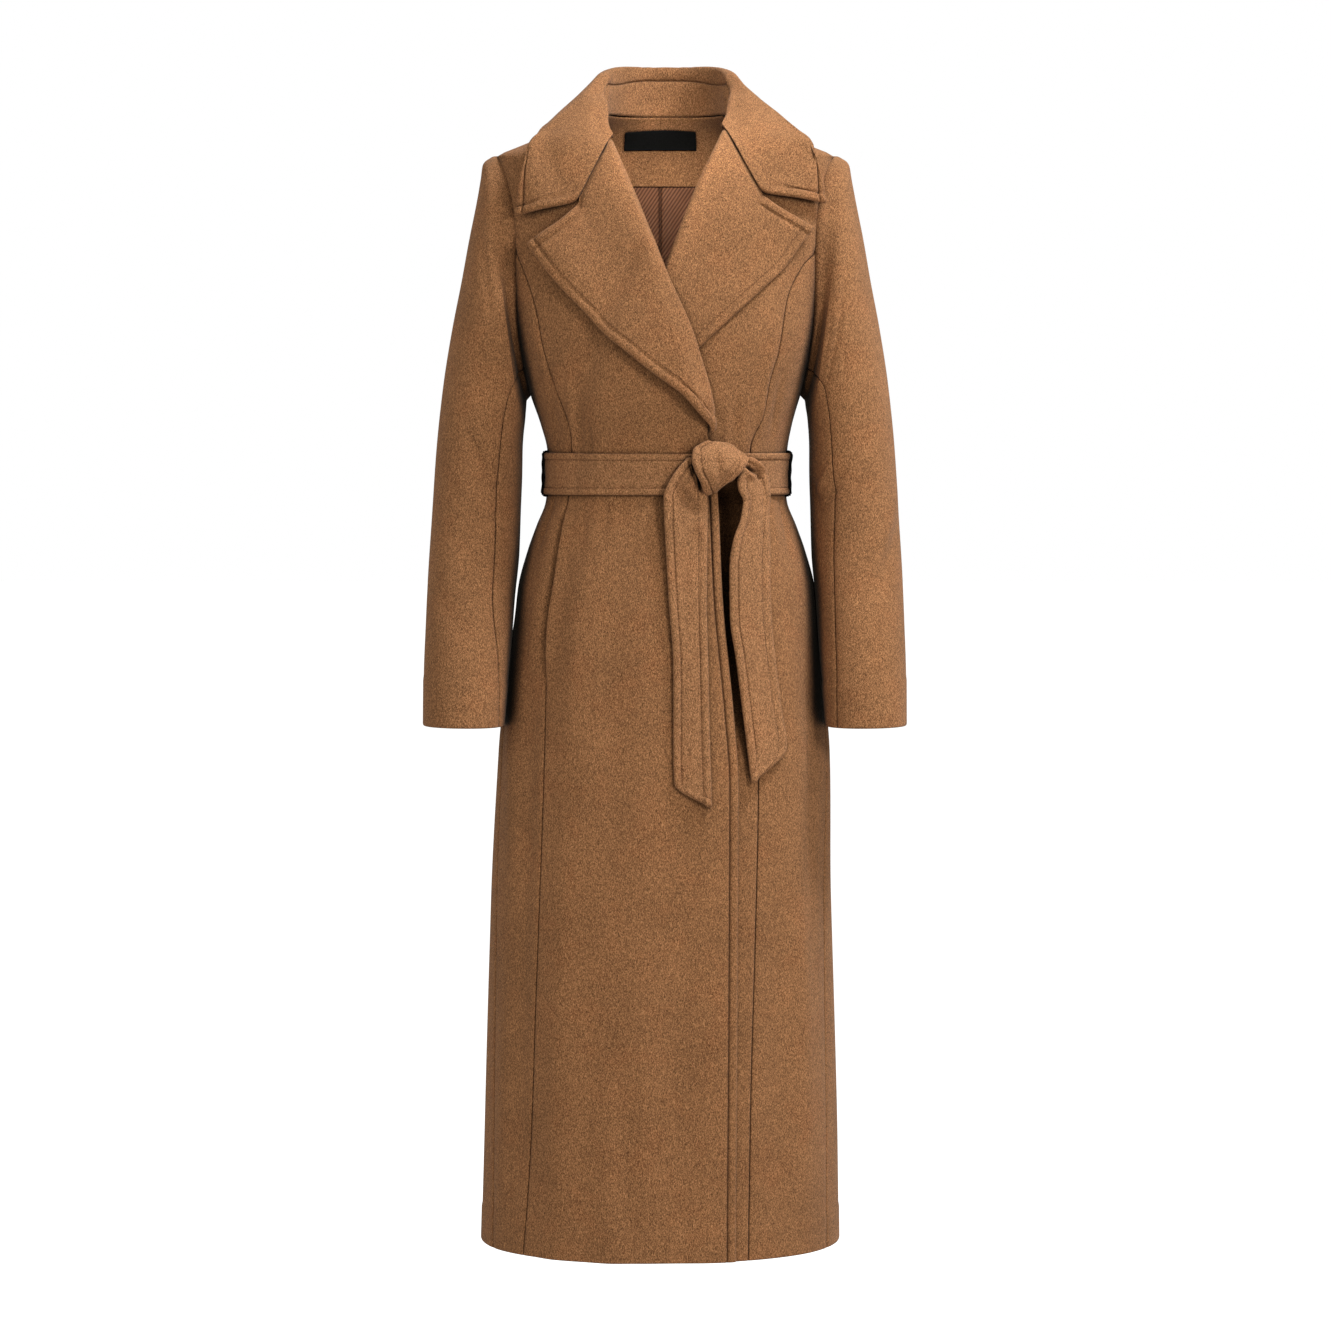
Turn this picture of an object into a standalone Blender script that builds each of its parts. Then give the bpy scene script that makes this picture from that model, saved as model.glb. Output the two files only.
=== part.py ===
"""Belted wool wrap coat in its worn, hollow form.

The wearer faces -Y, with their left side at +X. The origin lies between the shoulder tips, where
the wearer's shoulders carry the coat. All sizes are in metres.
"""

import math

import bmesh
import bpy
import numpy as np

# ---------------------------------------------------------------- driving sizes
HEM_Z = -1.211
WALL = 0.0025
GAP = 0.0004
LAYER = WALL + 0.0013
INSIDE_LAYER = WALL + 0.0016
ROLL_SETBACK = 0.0075
BORDER = 0.004
UNDERARM_Z = -0.262
BELT_Z = -0.351
BELT_WIDTH = 0.047
BELT_WALL = 0.0036
BELT_GAP = 0.0012
STAND_FOLD = 0.0034
COLLAR_SPRING = 0.0042
COLLAR_BOW = 0.0020
LAPEL_SPRING = 0.0034
LABEL_SIZE = (0.084, 0.022)
LABEL_CENTRE = (-0.006, 0.022)
LABEL_WALL = 0.0006
LINING_END_Z = -0.300
FACING_END_Z = -0.027
LOOP_THREAD = 0.0011
LINING_WALL = 0.0015
LINING_GAP = 0.0006

# The body panels are parted behind the belt, so that each solid bends round one hollow.
PANEL_PART_Z = BELT_Z
PART_MARGIN = 0.001
FRONT_COLUMNS = (12, 11)
SIDE_COLUMNS = 5
BACK_COLUMNS = 11

# Where the right front is moved out over the left front, and over its lapel as well.
LIFT_BESIDE = 0.042
LIFT_RAMP = 0.026
LIFT_TOP_Z = -0.060
LIFT_FADE = 0.045
LAPEL_LIFT_END_Z = -0.385
LAPEL_LIFT_FADE = 0.060

# Lapels: rows down the roll line, the first columns of the roll, and how the cloth leaves it.
LAPEL_ROWS = 15
LAPEL_ROW_POWER = 1.2
LAPEL_END_Z = -0.300
LAPEL_END_DROP = 0.004
ROLL_STEPS = np.array([0.0, 0.0014, 0.0042, 0.010])
ROLL_STEP_LIMITS = np.array([0.0, 0.12, 0.28, 0.45])
ROLL_START_OUT = -0.0016
ROLL_RISE = 0.0045
ROLL_WIDTH = 0.0042
ROLL_TOP_Z = 0.060
ROLL_END_Z = -0.325
ROLL_FADE = 0.020
LAPEL_FLAT_Z = -0.125
LAPEL_FLAT_FADE = 0.060
LAPEL_SPRING_WIDTH = 0.020

# Collar: shares of the stand, then of the fall, where its ribs are read.
STAND_SHARES = (0.0, 0.35, 0.70)
FALL_SHARES = (0.05, 0.15, 0.27, 0.40, 0.52, 0.64, 0.76, 0.88, 1.0)
STAND_LEAN = 1.9
FOLD_DROP = 0.004
FOLD_DROP_SHARE = 0.4
KNEE_SHARE = 0.40
FALL_POWER = 1.15
BOW_HEIGHT = 0.030
SPRING_HEIGHT = 0.020
COLLAR_STEPS = (0.0, 0.03, *np.linspace(0.08, 0.44, 7), *np.linspace(0.52, 1.0, 6))

# Belt: where its two ends go into the knot, and how it steps up onto the right front.
BELT_START_X = 0.060
BELT_END_X = 0.044
BELT_COLUMNS = 45
BELT_STEP = 0.020
TAIL_COLUMNS = 5
TAIL_CROWN = 0.0012

CAMEL = (0.29, 0.145, 0.062)
BROWN_LINING = (0.105, 0.042, 0.024)
BLACK = (0.008, 0.008, 0.007)


class Table:
    """Rows with named columns, read smoothly along the first column without overshoot."""

    def __init__(self, names, *rows):
        self.names = names.split()
        data = np.array(sorted(rows), float)
        self.keys = data[:, 0]
        self.values = data[:, 1:]
        step = np.diff(self.keys)[:, None]
        slope = np.diff(self.values, axis=0) / step
        before, after = slope[:-1], slope[1:]
        same_way = before * after > 0
        total = np.where(same_way, before + after, 1.0)
        inner = np.where(same_way, 2 * before * after / total, 0.0)
        self.slopes = np.vstack([slope[:1], inner, slope[-1:]])

    def __call__(self, at, name):
        column = self.names.index(name) - 1
        at = np.clip(np.asarray(at, float), self.keys[0], self.keys[-1])
        low = np.clip(np.searchsorted(self.keys, at) - 1, 0, len(self.keys) - 2)
        width = self.keys[low + 1] - self.keys[low]
        part = (at - self.keys[low]) / width
        start, end = self.values[low, column], self.values[low + 1, column]
        leave, arrive = self.slopes[low, column] * width, self.slopes[low + 1, column] * width
        cubic = 2 * start - 2 * end + leave + arrive
        square = -3 * start + 3 * end - 2 * leave - arrive
        return ((cubic * part + square) * part + leave) * part + start


# Level sections of the coat, from the neckline down to the hem.
BODY = Table(
    "z half_width shift front back squareness",
    (0.053, 0.066, 0.000, 0.042, 0.074, 2.0),
    (0.047, 0.075, 0.000, 0.048, 0.077, 2.0),
    (0.033, 0.110, 0.000, 0.058, 0.082, 2.1),
    (0.017, 0.149, 0.000, 0.068, 0.088, 2.2),
    (0.008, 0.171, 0.000, 0.073, 0.091, 2.2),
    (0.000, 0.188, 0.000, 0.078, 0.093, 2.3),
    (-0.030, 0.189, 0.000, 0.087, 0.098, 2.3),
    (-0.070, 0.186, 0.000, 0.098, 0.101, 2.3),
    (-0.110, 0.181, 0.000, 0.109, 0.100, 2.3),
    (-0.160, 0.175, 0.000, 0.118, 0.097, 2.3),
    (-0.200, 0.168, 0.000, 0.121, 0.093, 2.3),
    (-0.262, 0.151, 0.000, 0.116, 0.087, 2.2),
    (-0.297, 0.140, 0.001, 0.109, 0.083, 2.2),
    (-0.325, 0.134, 0.002, 0.105, 0.081, 2.2),
    (-0.353, 0.1325, 0.001, 0.104, 0.081, 2.2),
    (-0.381, 0.1345, 0.001, 0.106, 0.084, 2.2),
    (-0.409, 0.145, 0.001, 0.110, 0.090, 2.2),
    (-0.437, 0.155, 0.001, 0.114, 0.097, 2.2),
    (-0.476, 0.1655, 0.001, 0.120, 0.106, 2.2),
    (-0.510, 0.1695, 0.001, 0.124, 0.111, 2.2),
    (-0.545, 0.1740, 0.000, 0.127, 0.115, 2.2),
    (-0.600, 0.1800, -0.001, 0.131, 0.118, 2.2),
    (-0.661, 0.1855, -0.0015, 0.134, 0.121, 2.2),
    (-0.830, 0.191, -0.005, 0.141, 0.129, 2.2),
    (-1.057, 0.198, -0.005, 0.149, 0.141, 2.2),
    (HEM_Z, 0.2015, -0.006, 0.154, 0.149, 2.2),
)

# How far the armhole seam lies from the middle plane.
ARMHOLE = Table(
    "z x",
    (0.000, 0.188),
    (-0.010, 0.182),
    (-0.034, 0.174),
    (-0.060, 0.1685),
    (-0.085, 0.1665),
    (-0.162, 0.165),
    (-0.218, 0.1595),
    (-0.246, 0.1545),
    (UNDERARM_Z, 0.151),
)

# Right front: neckline, roll line and then the free edge that lies on top.
RIGHT_EDGE = Table(
    "z x",
    (0.047, -0.075),
    (0.017, -0.0585),
    (-0.042, -0.033),
    (-0.124, -0.001),
    (-0.210, 0.035),
    (-0.292, 0.053),
    (-0.310, 0.051),
    (-0.383, 0.057),
    (-0.486, 0.062),
    (-0.614, 0.074),
    (-0.688, 0.079),
    (-0.923, 0.078),
    (HEM_Z, 0.076),
)
# Left front: the same, then the hidden edge of the underlap.
LEFT_EDGE = Table(
    "z x",
    (0.047, 0.075),
    (0.028, 0.0635),
    (-0.036, 0.033),
    (-0.124, -0.001),
    (-0.210, -0.037),
    (-0.292, -0.055),
    (-0.310, -0.053),
    (-0.383, -0.060),
    (-0.600, -0.085),
    (HEM_Z, -0.105),
)
RIGHT_PRINCESS = Table(
    "z x",
    (-0.095, -0.1665),
    (-0.108, -0.1648),
    (-0.120, -0.1600),
    (-0.143, -0.151),
    (-0.173, -0.142),
    (-0.210, -0.135),
    (-0.249, -0.125),
    (-0.284, -0.111),
    (-0.312, -0.1035),
    (-0.353, -0.105),
    (-0.406, -0.112),
    (-0.454, -0.120),
    (-0.533, -0.131),
    (-0.664, -0.134),
    (-0.951, -0.144),
    (-1.067, -0.148),
    (HEM_Z, -0.157),
)
LEFT_PRINCESS = Table(
    "z x",
    (-0.095, 0.1665),
    (-0.108, 0.1648),
    (-0.120, 0.1535),
    (-0.159, 0.135),
    (-0.220, 0.124),
    (-0.249, 0.115),
    (-0.286, 0.108),
    (-0.322, 0.094),
    (-0.353, 0.092),
    (-0.450, 0.098),
    (-0.689, 0.102),
    (-0.849, 0.099),
    (-1.026, 0.094),
    (HEM_Z, 0.091),
)
PRINCESS_TOP_Z = -0.098
SIDE_TOP_Z = -0.108

# Side seam: degrees round from the centre front.
SIDE_SEAM = Table("z turn", (UNDERARM_Z, 90.0), (-0.353, 88.0), (-0.60, 78.0), (HEM_Z, 66.0))

# Lapels: the outer edge from its point down to where it ends at the waist.
RIGHT_LAPEL = Table(
    "z x",
    (-0.097, -0.144),
    (-0.131, -0.124),
    (-0.155, -0.105),
    (-0.176, -0.085),
    (-0.197, -0.066),
    (-0.212, -0.046),
    (-0.239, -0.013),
    (-0.260, 0.015),
    (-0.282, 0.036),
    (-0.296, 0.047),
    (-0.310, 0.051),
)
LEFT_LAPEL = Table(
    "z x",
    (-0.087, 0.154),
    (-0.097, 0.150),
    (-0.126, 0.129),
    (-0.140, 0.115),
    (-0.158, 0.096),
    (-0.185, 0.067),
    (-0.213, 0.037),
    (-0.240, 0.010),
    (-0.262, -0.018),
    (-0.282, -0.040),
    (-0.310, -0.053),
)
# Upper edge of each lapel: gorge seam to the notch, then the free edge to the point.
RIGHT_LAPEL_TOP = Table(
    "across x z", (0.0, -0.0585, 0.017), (0.45, -0.0965, -0.0505), (1.0, -0.144, -0.097)
)
LEFT_LAPEL_TOP = Table(
    "across x z", (0.0, 0.0635, 0.028), (0.45, 0.1055, -0.042), (1.0, 0.154, -0.087)
)

# Collar, from its front end (0) to the centre back (1). Turns are degrees round the body, the rise
# goes from the neckline to the fold, and the knee is where the notch bends the front end.
COLLAR_COLUMNS = "along neck_turn neck_z rise_in rise_y rise_z knee_turn knee_z edge_turn edge_z"
RIGHT_COLLAR = Table(
    COLLAR_COLUMNS,
    (0.00, 21.0, 0.0176, 0.000, -0.001, 0.005, 28.0, -0.0485, 59.0, -0.0640),
    (0.18, 45.0, 0.0360, 0.017, 0.010, 0.023, 49.0, 0.0120, 54.0, -0.0150),
    (0.36, 86.0, 0.0480, 0.010, 0.014, 0.045, 84.0, 0.0360, 81.0, 0.0205),
    (0.52, 116.0, 0.0518, 0.007, 0.008, 0.052, 113.0, 0.0370, 110.0, 0.0150),
    (0.72, 142.0, 0.0522, 0.003, 0.000, 0.054, 138.0, 0.0390, 133.0, 0.0180),
    (1.00, 180.0, 0.0524, 0.000, -0.003, 0.054, 180.0, 0.0390, 180.0, 0.0180),
)
LEFT_COLLAR = Table(
    COLLAR_COLUMNS,
    (0.00, 30.0, 0.0290, 0.000, -0.001, 0.005, 31.2, -0.0400, 62.0, -0.0500),
    (0.18, 50.0, 0.0390, 0.014, 0.010, 0.023, 52.0, 0.0120, 58.0, -0.0150),
    (0.36, 86.0, 0.0480, 0.006, 0.014, 0.045, 84.0, 0.0355, 81.5, 0.0185),
    (0.52, 116.0, 0.0518, 0.003, 0.008, 0.052, 113.0, 0.0370, 110.0, 0.0150),
    (0.72, 142.0, 0.0522, 0.001, 0.000, 0.054, 138.0, 0.0390, 133.0, 0.0180),
    (1.00, 180.0, 0.0524, 0.000, -0.003, 0.054, 180.0, 0.0390, 180.0, 0.0180),
)

# Sleeve sections, from the armhole (0) to the cuff (1): the outer and the inner end of each
# section, and its centre and half depth front to back.
SLEEVE = Table(
    "along outer_x outer_z inner_x inner_z centre_y half_depth",
    (0.00, 0.188, 0.000, 0.151, UNDERARM_Z, 0.000, 0.052),
    (0.03, 0.1965, -0.0025, 0.155, -0.263, 0.000, 0.055),
    (0.06, 0.2015, -0.0085, 0.158, -0.2645, 0.000, 0.058),
    (0.12, 0.2045, -0.024, 0.1605, -0.270, 0.000, 0.063),
    (0.19, 0.210, -0.052, 0.161, -0.278, 0.000, 0.067),
    (0.27, 0.218, -0.090, 0.1605, -0.288, 0.000, 0.069),
    (0.36, 0.227, -0.138, 0.160, -0.303, 0.001, 0.069),
    (0.45, 0.238, -0.193, 0.1595, -0.323, 0.002, 0.068),
    (0.54, 0.248, -0.255, 0.160, -0.352, 0.002, 0.066),
    (0.63, 0.2555, -0.325, 0.1615, -0.392, -0.002, 0.063),
    (0.72, 0.260, -0.395, 0.163, -0.440, -0.010, 0.061),
    (0.80, 0.264, -0.465, 0.1675, -0.490, -0.026, 0.058),
    (0.87, 0.2660, -0.520, 0.1705, -0.535, -0.040, 0.056),
    (0.94, 0.2675, -0.575, 0.1745, -0.582, -0.053, 0.053),
    (1.00, 0.2675, -0.628, 0.1785, -0.629, -0.063, 0.051),
)
SLEEVE_RINGS = SLEEVE.keys
SLEEVE_HEAD_END = 0.27
SLEEVE_BORDER = 0.06
SLEEVE_OVALNESS = 0.92
SLEEVE_SEAM_INSET = 0.0036
SLEEVE_HEAD_REACH = 0.003
ARMHOLE_GAP = 0.0007
SHOULDER_SLOPE = (0.92, -0.39)
LEFT_SLEEVE_LEAN = 0.003
# Where the sleeve's two seams lie, in degrees round from its outer line.
SLEEVE_SEAMS = Table(
    "along right_front left_front back",
    (0.00, 140.0, 140.0, -140.0),
    (0.40, 121.0, 118.0, -130.0),
    (0.63, 117.0, 117.0, -122.0),
    (0.80, 121.0, 126.0, -120.0),
    (0.92, 142.0, 131.0, -122.0),
    (1.00, 153.0, 137.0, -124.0),
)

# Largest soft folds: where they lie, how far round and down they reach, and how deep they are.
FOLD_RADIUS = 0.15
FOLD_FADE = 0.25
FOLD_END_SHARE = 0.4
FOLDS = (
    # turn, z_top, z_end, spread, depth
    (-13.0, -0.86, -1.30, 6.0, 0.0035),
    (3.0, -0.50, -1.30, 8.0, -0.0025),
    (-52.0, -0.42, -0.90, 6.0, -0.0030),
    (52.0, -0.45, -1.00, 6.0, 0.0025),
    (140.0, -0.40, -1.30, 10.0, 0.0050),
    (-150.0, -0.40, -1.30, 11.0, 0.0050),
    (178.0, -0.55, -1.30, 9.0, -0.0045),
)

# The left front falls in beside the edge that lies over it, just below the belt.
DIP_DEPTH = 0.013
DIP_BESIDE = 0.010
DIP_SPREAD = 0.019
DIP_TOP_Z = -0.376
DIP_END_Z = -0.680
DIP_FADE_IN = 0.035
DIP_FADE_OUT = 0.180

# Belt ends: how each hangs, from the knot down.
RIGHT_TAIL = Table(
    "z left right left_out right_out",
    (-0.331, 0.0220, 0.0320, 0.0166, 0.0164),
    (-0.345, 0.0110, 0.0350, 0.0185, 0.0165),
    (-0.361, 0.0030, 0.0395, 0.0200, 0.0165),
    (-0.377, -0.0020, 0.0430, 0.0195, 0.0155),
    (-0.400, -0.0015, 0.0440, 0.0170, 0.0140),
    (-0.430, 0.0000, 0.0440, 0.0140, 0.0125),
    (-0.486, 0.0030, 0.0440, 0.0105, 0.0100),
    (-0.565, 0.0080, 0.0460, 0.0090, 0.0088),
    (-0.646, 0.0080, 0.0480, 0.0085, 0.0085),
    (-0.687, 0.0090, 0.0495, 0.0085, 0.0085),
    (-0.713, 0.0455, 0.0500, 0.0085, 0.0085),
)
LEFT_TAIL = Table(
    "z left right left_out right_out",
    (-0.334, 0.0780, 0.0930, 0.0132, 0.0084),
    (-0.347, 0.0760, 0.1015, 0.0158, 0.0086),
    (-0.363, 0.0730, 0.1060, 0.0180, 0.0092),
    (-0.378, 0.0745, 0.1075, 0.0180, 0.0110),
    (-0.392, 0.0775, 0.1080, 0.0168, 0.0118),
    (-0.422, 0.0690, 0.1090, 0.0140, 0.0120),
    (-0.450, 0.0670, 0.1095, 0.0120, 0.0115),
    (-0.508, 0.0680, 0.1120, 0.0100, 0.0098),
    (-0.550, 0.0740, 0.1160, 0.0095, 0.0092),
    (-0.605, 0.0810, 0.1230, 0.0090, 0.0088),
    (-0.649, 0.0865, 0.1290, 0.0087, 0.0087),
    (-0.687, 0.0905, 0.0945, 0.0087, 0.0087),
)
# The turn of the belt that wraps over the knot, from its tucked top down to its tucked point.
KNOT_WRAP = Table(
    "along left left_z right right_z out",
    (0.00, 0.0360, -0.3190, 0.0820, -0.3200, 0.0156),
    (0.14, 0.0310, -0.3215, 0.0890, -0.3265, 0.0220),
    (0.36, 0.0305, -0.3350, 0.0870, -0.3385, 0.0280),
    (0.58, 0.0345, -0.3500, 0.0770, -0.3500, 0.0290),
    (0.78, 0.0405, -0.3640, 0.0640, -0.3615, 0.0260),
    (0.92, 0.0450, -0.3725, 0.0565, -0.3715, 0.0200),
    (1.00, 0.0465, -0.3745, 0.0550, -0.3735, 0.0156),
)
KNOT_CROWN = 0.005
KNOT_ROWS = 9
KNOT_COLUMNS = 8
KNOT_CORE = (0.056, -0.343, 0.0168)
KNOT_CORE_SIZE = (0.0214, 0.0060, 0.0174)
KNOT_CORE_TURN = math.radians(12.0)
# Thread loops that hold the belt at the sides: height from the belt's middle, and height off.
LOOP_TURN = 86.0
LOOP_PATH = (
    # z from the belt's middle, out from the coat
    (0.029, 0.0018),
    (0.0262, 0.0052),
    (0.020, 0.0070),
    (0.000, 0.0072),
    (-0.020, 0.0070),
    (-0.0262, 0.0052),
    (-0.029, 0.0018),
)

# Facing and lining inside the neck: level rows, and how far each reaches from the centre back.
NECK_COLUMNS = 12
FACING_ROWS = np.array([FACING_END_Z, -0.012, 0.006, 0.022, 0.037, 0.0515])
FACING_REACH = np.radians([44.0, 58.0, 66.0, 71.0, 74.0, 77.0])
LINING_ROWS = np.linspace(LINING_END_Z, FACING_END_Z - LINING_GAP, 8)
LINING_REACH = np.radians(np.linspace(62.0, 52.0, 8))

# Level rows of the body panels.
SKIRT_ROWS = np.linspace(HEM_Z, -0.57, 7)
WAIST_ROWS = np.array([-0.51, -0.47, -0.435, -0.405, -0.378, -0.351, -0.325, -0.295])
ARMHOLE_STEPS = 9
ARMHOLE_TURNS = np.linspace(math.pi, 0.0, ARMHOLE_STEPS + 1)
ARMHOLE_ROWS = UNDERARM_Z / 2 - UNDERARM_Z / 2 * np.cos(ARMHOLE_TURNS)
SHOULDER_ROWS = np.array([0.006, 0.013, 0.021, 0.030, 0.038, 0.0455])
BACK_NECK_Z = 0.0505
BODY_ROWS = np.concatenate([SKIRT_ROWS, WAIST_ROWS, ARMHOLE_ROWS, SHOULDER_ROWS])


# ---------------------------------------------------------------- the coat's surface
def smoothstep(value):
    value = np.clip(value, 0.0, 1.0)
    return value * value * (3 - 2 * value)


def fold_height(turn, z):
    """How far the largest folds stand out (or in) at each point."""
    degrees = np.degrees(turn)
    height = np.zeros(np.broadcast(turn, z).shape)
    for middle, z_top, z_end, spread, depth in FOLDS:
        away = (degrees - middle + 180.0) % 360.0 - 180.0
        start = smoothstep((z_top - z) / FOLD_FADE)
        down = start * smoothstep((z - z_end) / FOLD_FADE + FOLD_END_SHARE)
        height = height + depth * np.exp(-((away / spread) ** 2)) * down
    return height


def section_point(turn, z):
    """Point of the outer surface: turn 0 is the centre front, +90 degrees the left side."""
    turn, z = np.broadcast_arrays(np.asarray(turn, float), np.asarray(z, float))
    power = 2.0 / BODY(z, "squareness")
    side, ahead = np.sin(turn), np.cos(turn)
    swell = 1.0 + fold_height(turn, z) / FOLD_RADIUS
    depth = np.where(ahead > 0, BODY(z, "front"), BODY(z, "back"))
    x = BODY(z, "shift") + BODY(z, "half_width") * np.sign(side) * np.abs(side) ** power * swell
    y = -depth * np.sign(ahead) * np.abs(ahead) ** power * swell
    return np.stack([x, y, z], axis=-1)


def skin(turn, z, out=0.0):
    """The same point, moved out along the surface's normal."""
    turn, z = np.broadcast_arrays(np.asarray(turn, float), np.asarray(z, float))
    step_turn, step_z = 0.012, 0.0015
    round_way = section_point(turn + step_turn, z) - section_point(turn - step_turn, z)
    up_way = section_point(turn, z + step_z) - section_point(turn, z - step_z)
    normal = np.cross(round_way, up_way)
    normal /= np.linalg.norm(normal, axis=-1, keepdims=True)
    return section_point(turn, z) + normal * np.asarray(out, float)[..., None]


def turn_at(x, z):
    """Turn of the front point that lies at x, z."""
    x, z = np.broadcast_arrays(np.asarray(x, float), np.asarray(z, float))
    across = (x - BODY(z, "shift")) / BODY(z, "half_width")
    share = np.clip(np.abs(across), 0.0, 1.0) ** (BODY(z, "squareness") / 2.0)
    return np.sign(across) * np.arcsin(share)


def on_front(x, z, out=0.0):
    return skin(turn_at(x, z), z, out)


def armhole_turn(z):
    """Turn of the armhole's front edge, and of the shoulder seam above it."""
    share = (ARMHOLE(z, "x") / BODY(z, "half_width")) ** (BODY(z, "squareness") / 2.0)
    inside = np.arcsin(np.clip(share, 0.0, 1.0))
    return np.where((z > UNDERARM_Z) & (z < 0.0), inside, math.pi / 2)


def front_lift(x, z):
    """How far the right front is moved out where it lies on the left front and its lapel."""
    under_edge = LEFT_EDGE(z, "x")
    over_under = smoothstep((x - under_edge + LIFT_BESIDE) / LIFT_RAMP)
    over_v = smoothstep((LIFT_TOP_Z - z) / LIFT_FADE)
    lapel_too = smoothstep((z - LAPEL_LIFT_END_Z) / LAPEL_LIFT_FADE)
    return over_under * over_v * (LAYER + LAYER * lapel_too)


def under_dip(x, z):
    """Hollow of the left front beside the edge that lies over it, below the belt."""
    away = (x - RIGHT_EDGE(z, "x") - DIP_BESIDE) / DIP_SPREAD
    start = smoothstep((DIP_TOP_Z - z) / DIP_FADE_IN)
    below_belt = start * smoothstep((z - DIP_END_Z) / DIP_FADE_OUT)
    return -DIP_DEPTH * np.exp(-(away**2)) * below_belt


# ---------------------------------------------------------------- meshes and objects
def cloth_material(name, colour, roughness):
    material = bpy.data.materials.new(name)
    material.use_nodes = True
    shader = material.node_tree.nodes["Principled BSDF"]
    shader.inputs["Base Color"].default_value = (*colour, 1.0)
    shader.inputs["Roughness"].default_value = roughness
    shader.inputs["Metallic"].default_value = 0.0
    material.diffuse_color = (*colour, 1.0)
    return material


def add_object(name, mesh, colour, roughness=0.95):
    part = bpy.data.objects.new(name, mesh)
    bpy.data.collections["wool_wrap_coat"].objects.link(part)
    mesh.materials.append(cloth_material(name, colour, roughness))
    mesh.shade_smooth()
    mesh.set_sharp_from_angle(angle=math.radians(40))
    return part


def grid_mesh(name, points):
    """Mesh of a grid of points whose faces look out when rows go up and columns turn left."""
    columns = points.shape[1]
    mesh = bpy.data.meshes.new(name)
    shape = bmesh.new()
    verts = [[shape.verts.new(point) for point in row] for row in points.tolist()]
    for low, high in zip(verts[:-1], verts[1:]):
        for left, right in zip(range(columns - 1), range(1, columns)):
            shape.faces.new((low[left], low[right], high[right], high[left]))
    shape.to_mesh(mesh)
    shape.free()
    return mesh


def add_cloth(name, points, colour, wall=WALL, flip=False):
    """One sheet of cloth: the grid is its outer face, and the wall lies behind it."""
    if flip:
        points = points[:, ::-1]
    part = add_object(name, grid_mesh(name, points), colour)
    thick = part.modifiers.new("Wall", "SOLIDIFY")
    thick.thickness = wall
    thick.offset = -1.0
    thick.use_quality_normals = True
    return part


def bordered(count, width):
    """Fractions across a panel, with a narrow first and last step."""
    border = np.clip(BORDER / np.maximum(width, 1e-6), 0.02, 0.25)[:, None]
    inner = np.linspace(0.0, 1.0, count - 1)[None, :]
    middle = border + (1 - 2 * border) * inner
    zeros = np.zeros((len(width), 1))
    return np.hstack([zeros, middle, zeros + 1.0])


def panel_points(rows, start, end, count, out):
    """Grid between two seams, given as turns for each row, each set back by half a gap."""
    speed_at = (section_point(start + 0.01, rows) - section_point(start - 0.01, rows)) / 0.02
    start = start + GAP / 2 / np.linalg.norm(speed_at, axis=-1)
    speed_at = (section_point(end + 0.01, rows) - section_point(end - 0.01, rows)) / 0.02
    end = end - GAP / 2 / np.linalg.norm(speed_at, axis=-1)
    width = np.linalg.norm(section_point(end, rows) - section_point(start, rows), axis=-1)
    across = bordered(count, width)
    turn = start[:, None] + (end - start)[:, None] * across
    z = np.repeat(rows[:, None], turn.shape[1], axis=1)
    lift = out(section_point(turn, z)[..., 0], z) if callable(out) else np.full(z.shape, out)
    return skin(turn, z, lift)


# ---------------------------------------------------------------- body panels
def add_panel(name, rows, grid):
    """One body panel as two sheets that meet behind the belt: grid gives the points of its rows."""
    above = rows[rows > PANEL_PART_Z + PART_MARGIN]
    below = rows[rows < PANEL_PART_Z - PART_MARGIN]
    add_cloth(name, grid(np.append(PANEL_PART_Z + GAP / 2, above)), CAMEL)
    add_cloth(name + "_skirt", grid(np.append(below, PANEL_PART_Z - GAP / 2)), CAMEL)


def front_outer_turn(rows, princess):
    """Outer border of a front: princess seam, then the armhole, then the shoulder seam."""
    below = np.abs(turn_at(princess(rows, "x"), rows))
    return np.where(rows < PRINCESS_TOP_Z, below, armhole_turn(rows))


def setback_edge(edge, rows, toward):
    """Free edge of a front, moved back where the roll of its lapel wraps round it."""
    rolled = smoothstep((rows - ROLL_END_Z) / ROLL_FADE)
    rolled = rolled * smoothstep((ROLL_TOP_Z - rows) / ROLL_FADE)
    return turn_at(edge(rows, "x") + toward * ROLL_SETBACK * rolled, rows)


def front_right_grid(rows):
    outer = -front_outer_turn(rows, RIGHT_PRINCESS)
    edge = setback_edge(RIGHT_EDGE, rows, -1)
    return panel_points(rows, outer, edge, FRONT_COLUMNS[0], front_lift)


def front_left_grid(rows):
    outer = front_outer_turn(rows, LEFT_PRINCESS)
    edge = setback_edge(LEFT_EDGE, rows, +1)
    return panel_points(rows, edge, outer, FRONT_COLUMNS[1], under_dip)


def build_fronts():
    add_panel("front_right", BODY_ROWS, front_right_grid)
    add_panel("front_left", BODY_ROWS, front_left_grid)


def side_turn(rows):
    """Side seam below the underarm, front edge of the armhole above it."""
    seam = np.radians(SIDE_SEAM(rows, "turn"))
    return np.where(rows <= UNDERARM_Z, seam, armhole_turn(rows))


def side_right_grid(rows):
    inner = np.abs(turn_at(RIGHT_PRINCESS(rows, "x"), rows))
    return panel_points(rows, -side_turn(rows), -inner, SIDE_COLUMNS, 0.0)


def side_left_grid(rows):
    inner = np.abs(turn_at(LEFT_PRINCESS(rows, "x"), rows))
    return panel_points(rows, inner, side_turn(rows), SIDE_COLUMNS, 0.0)


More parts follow.
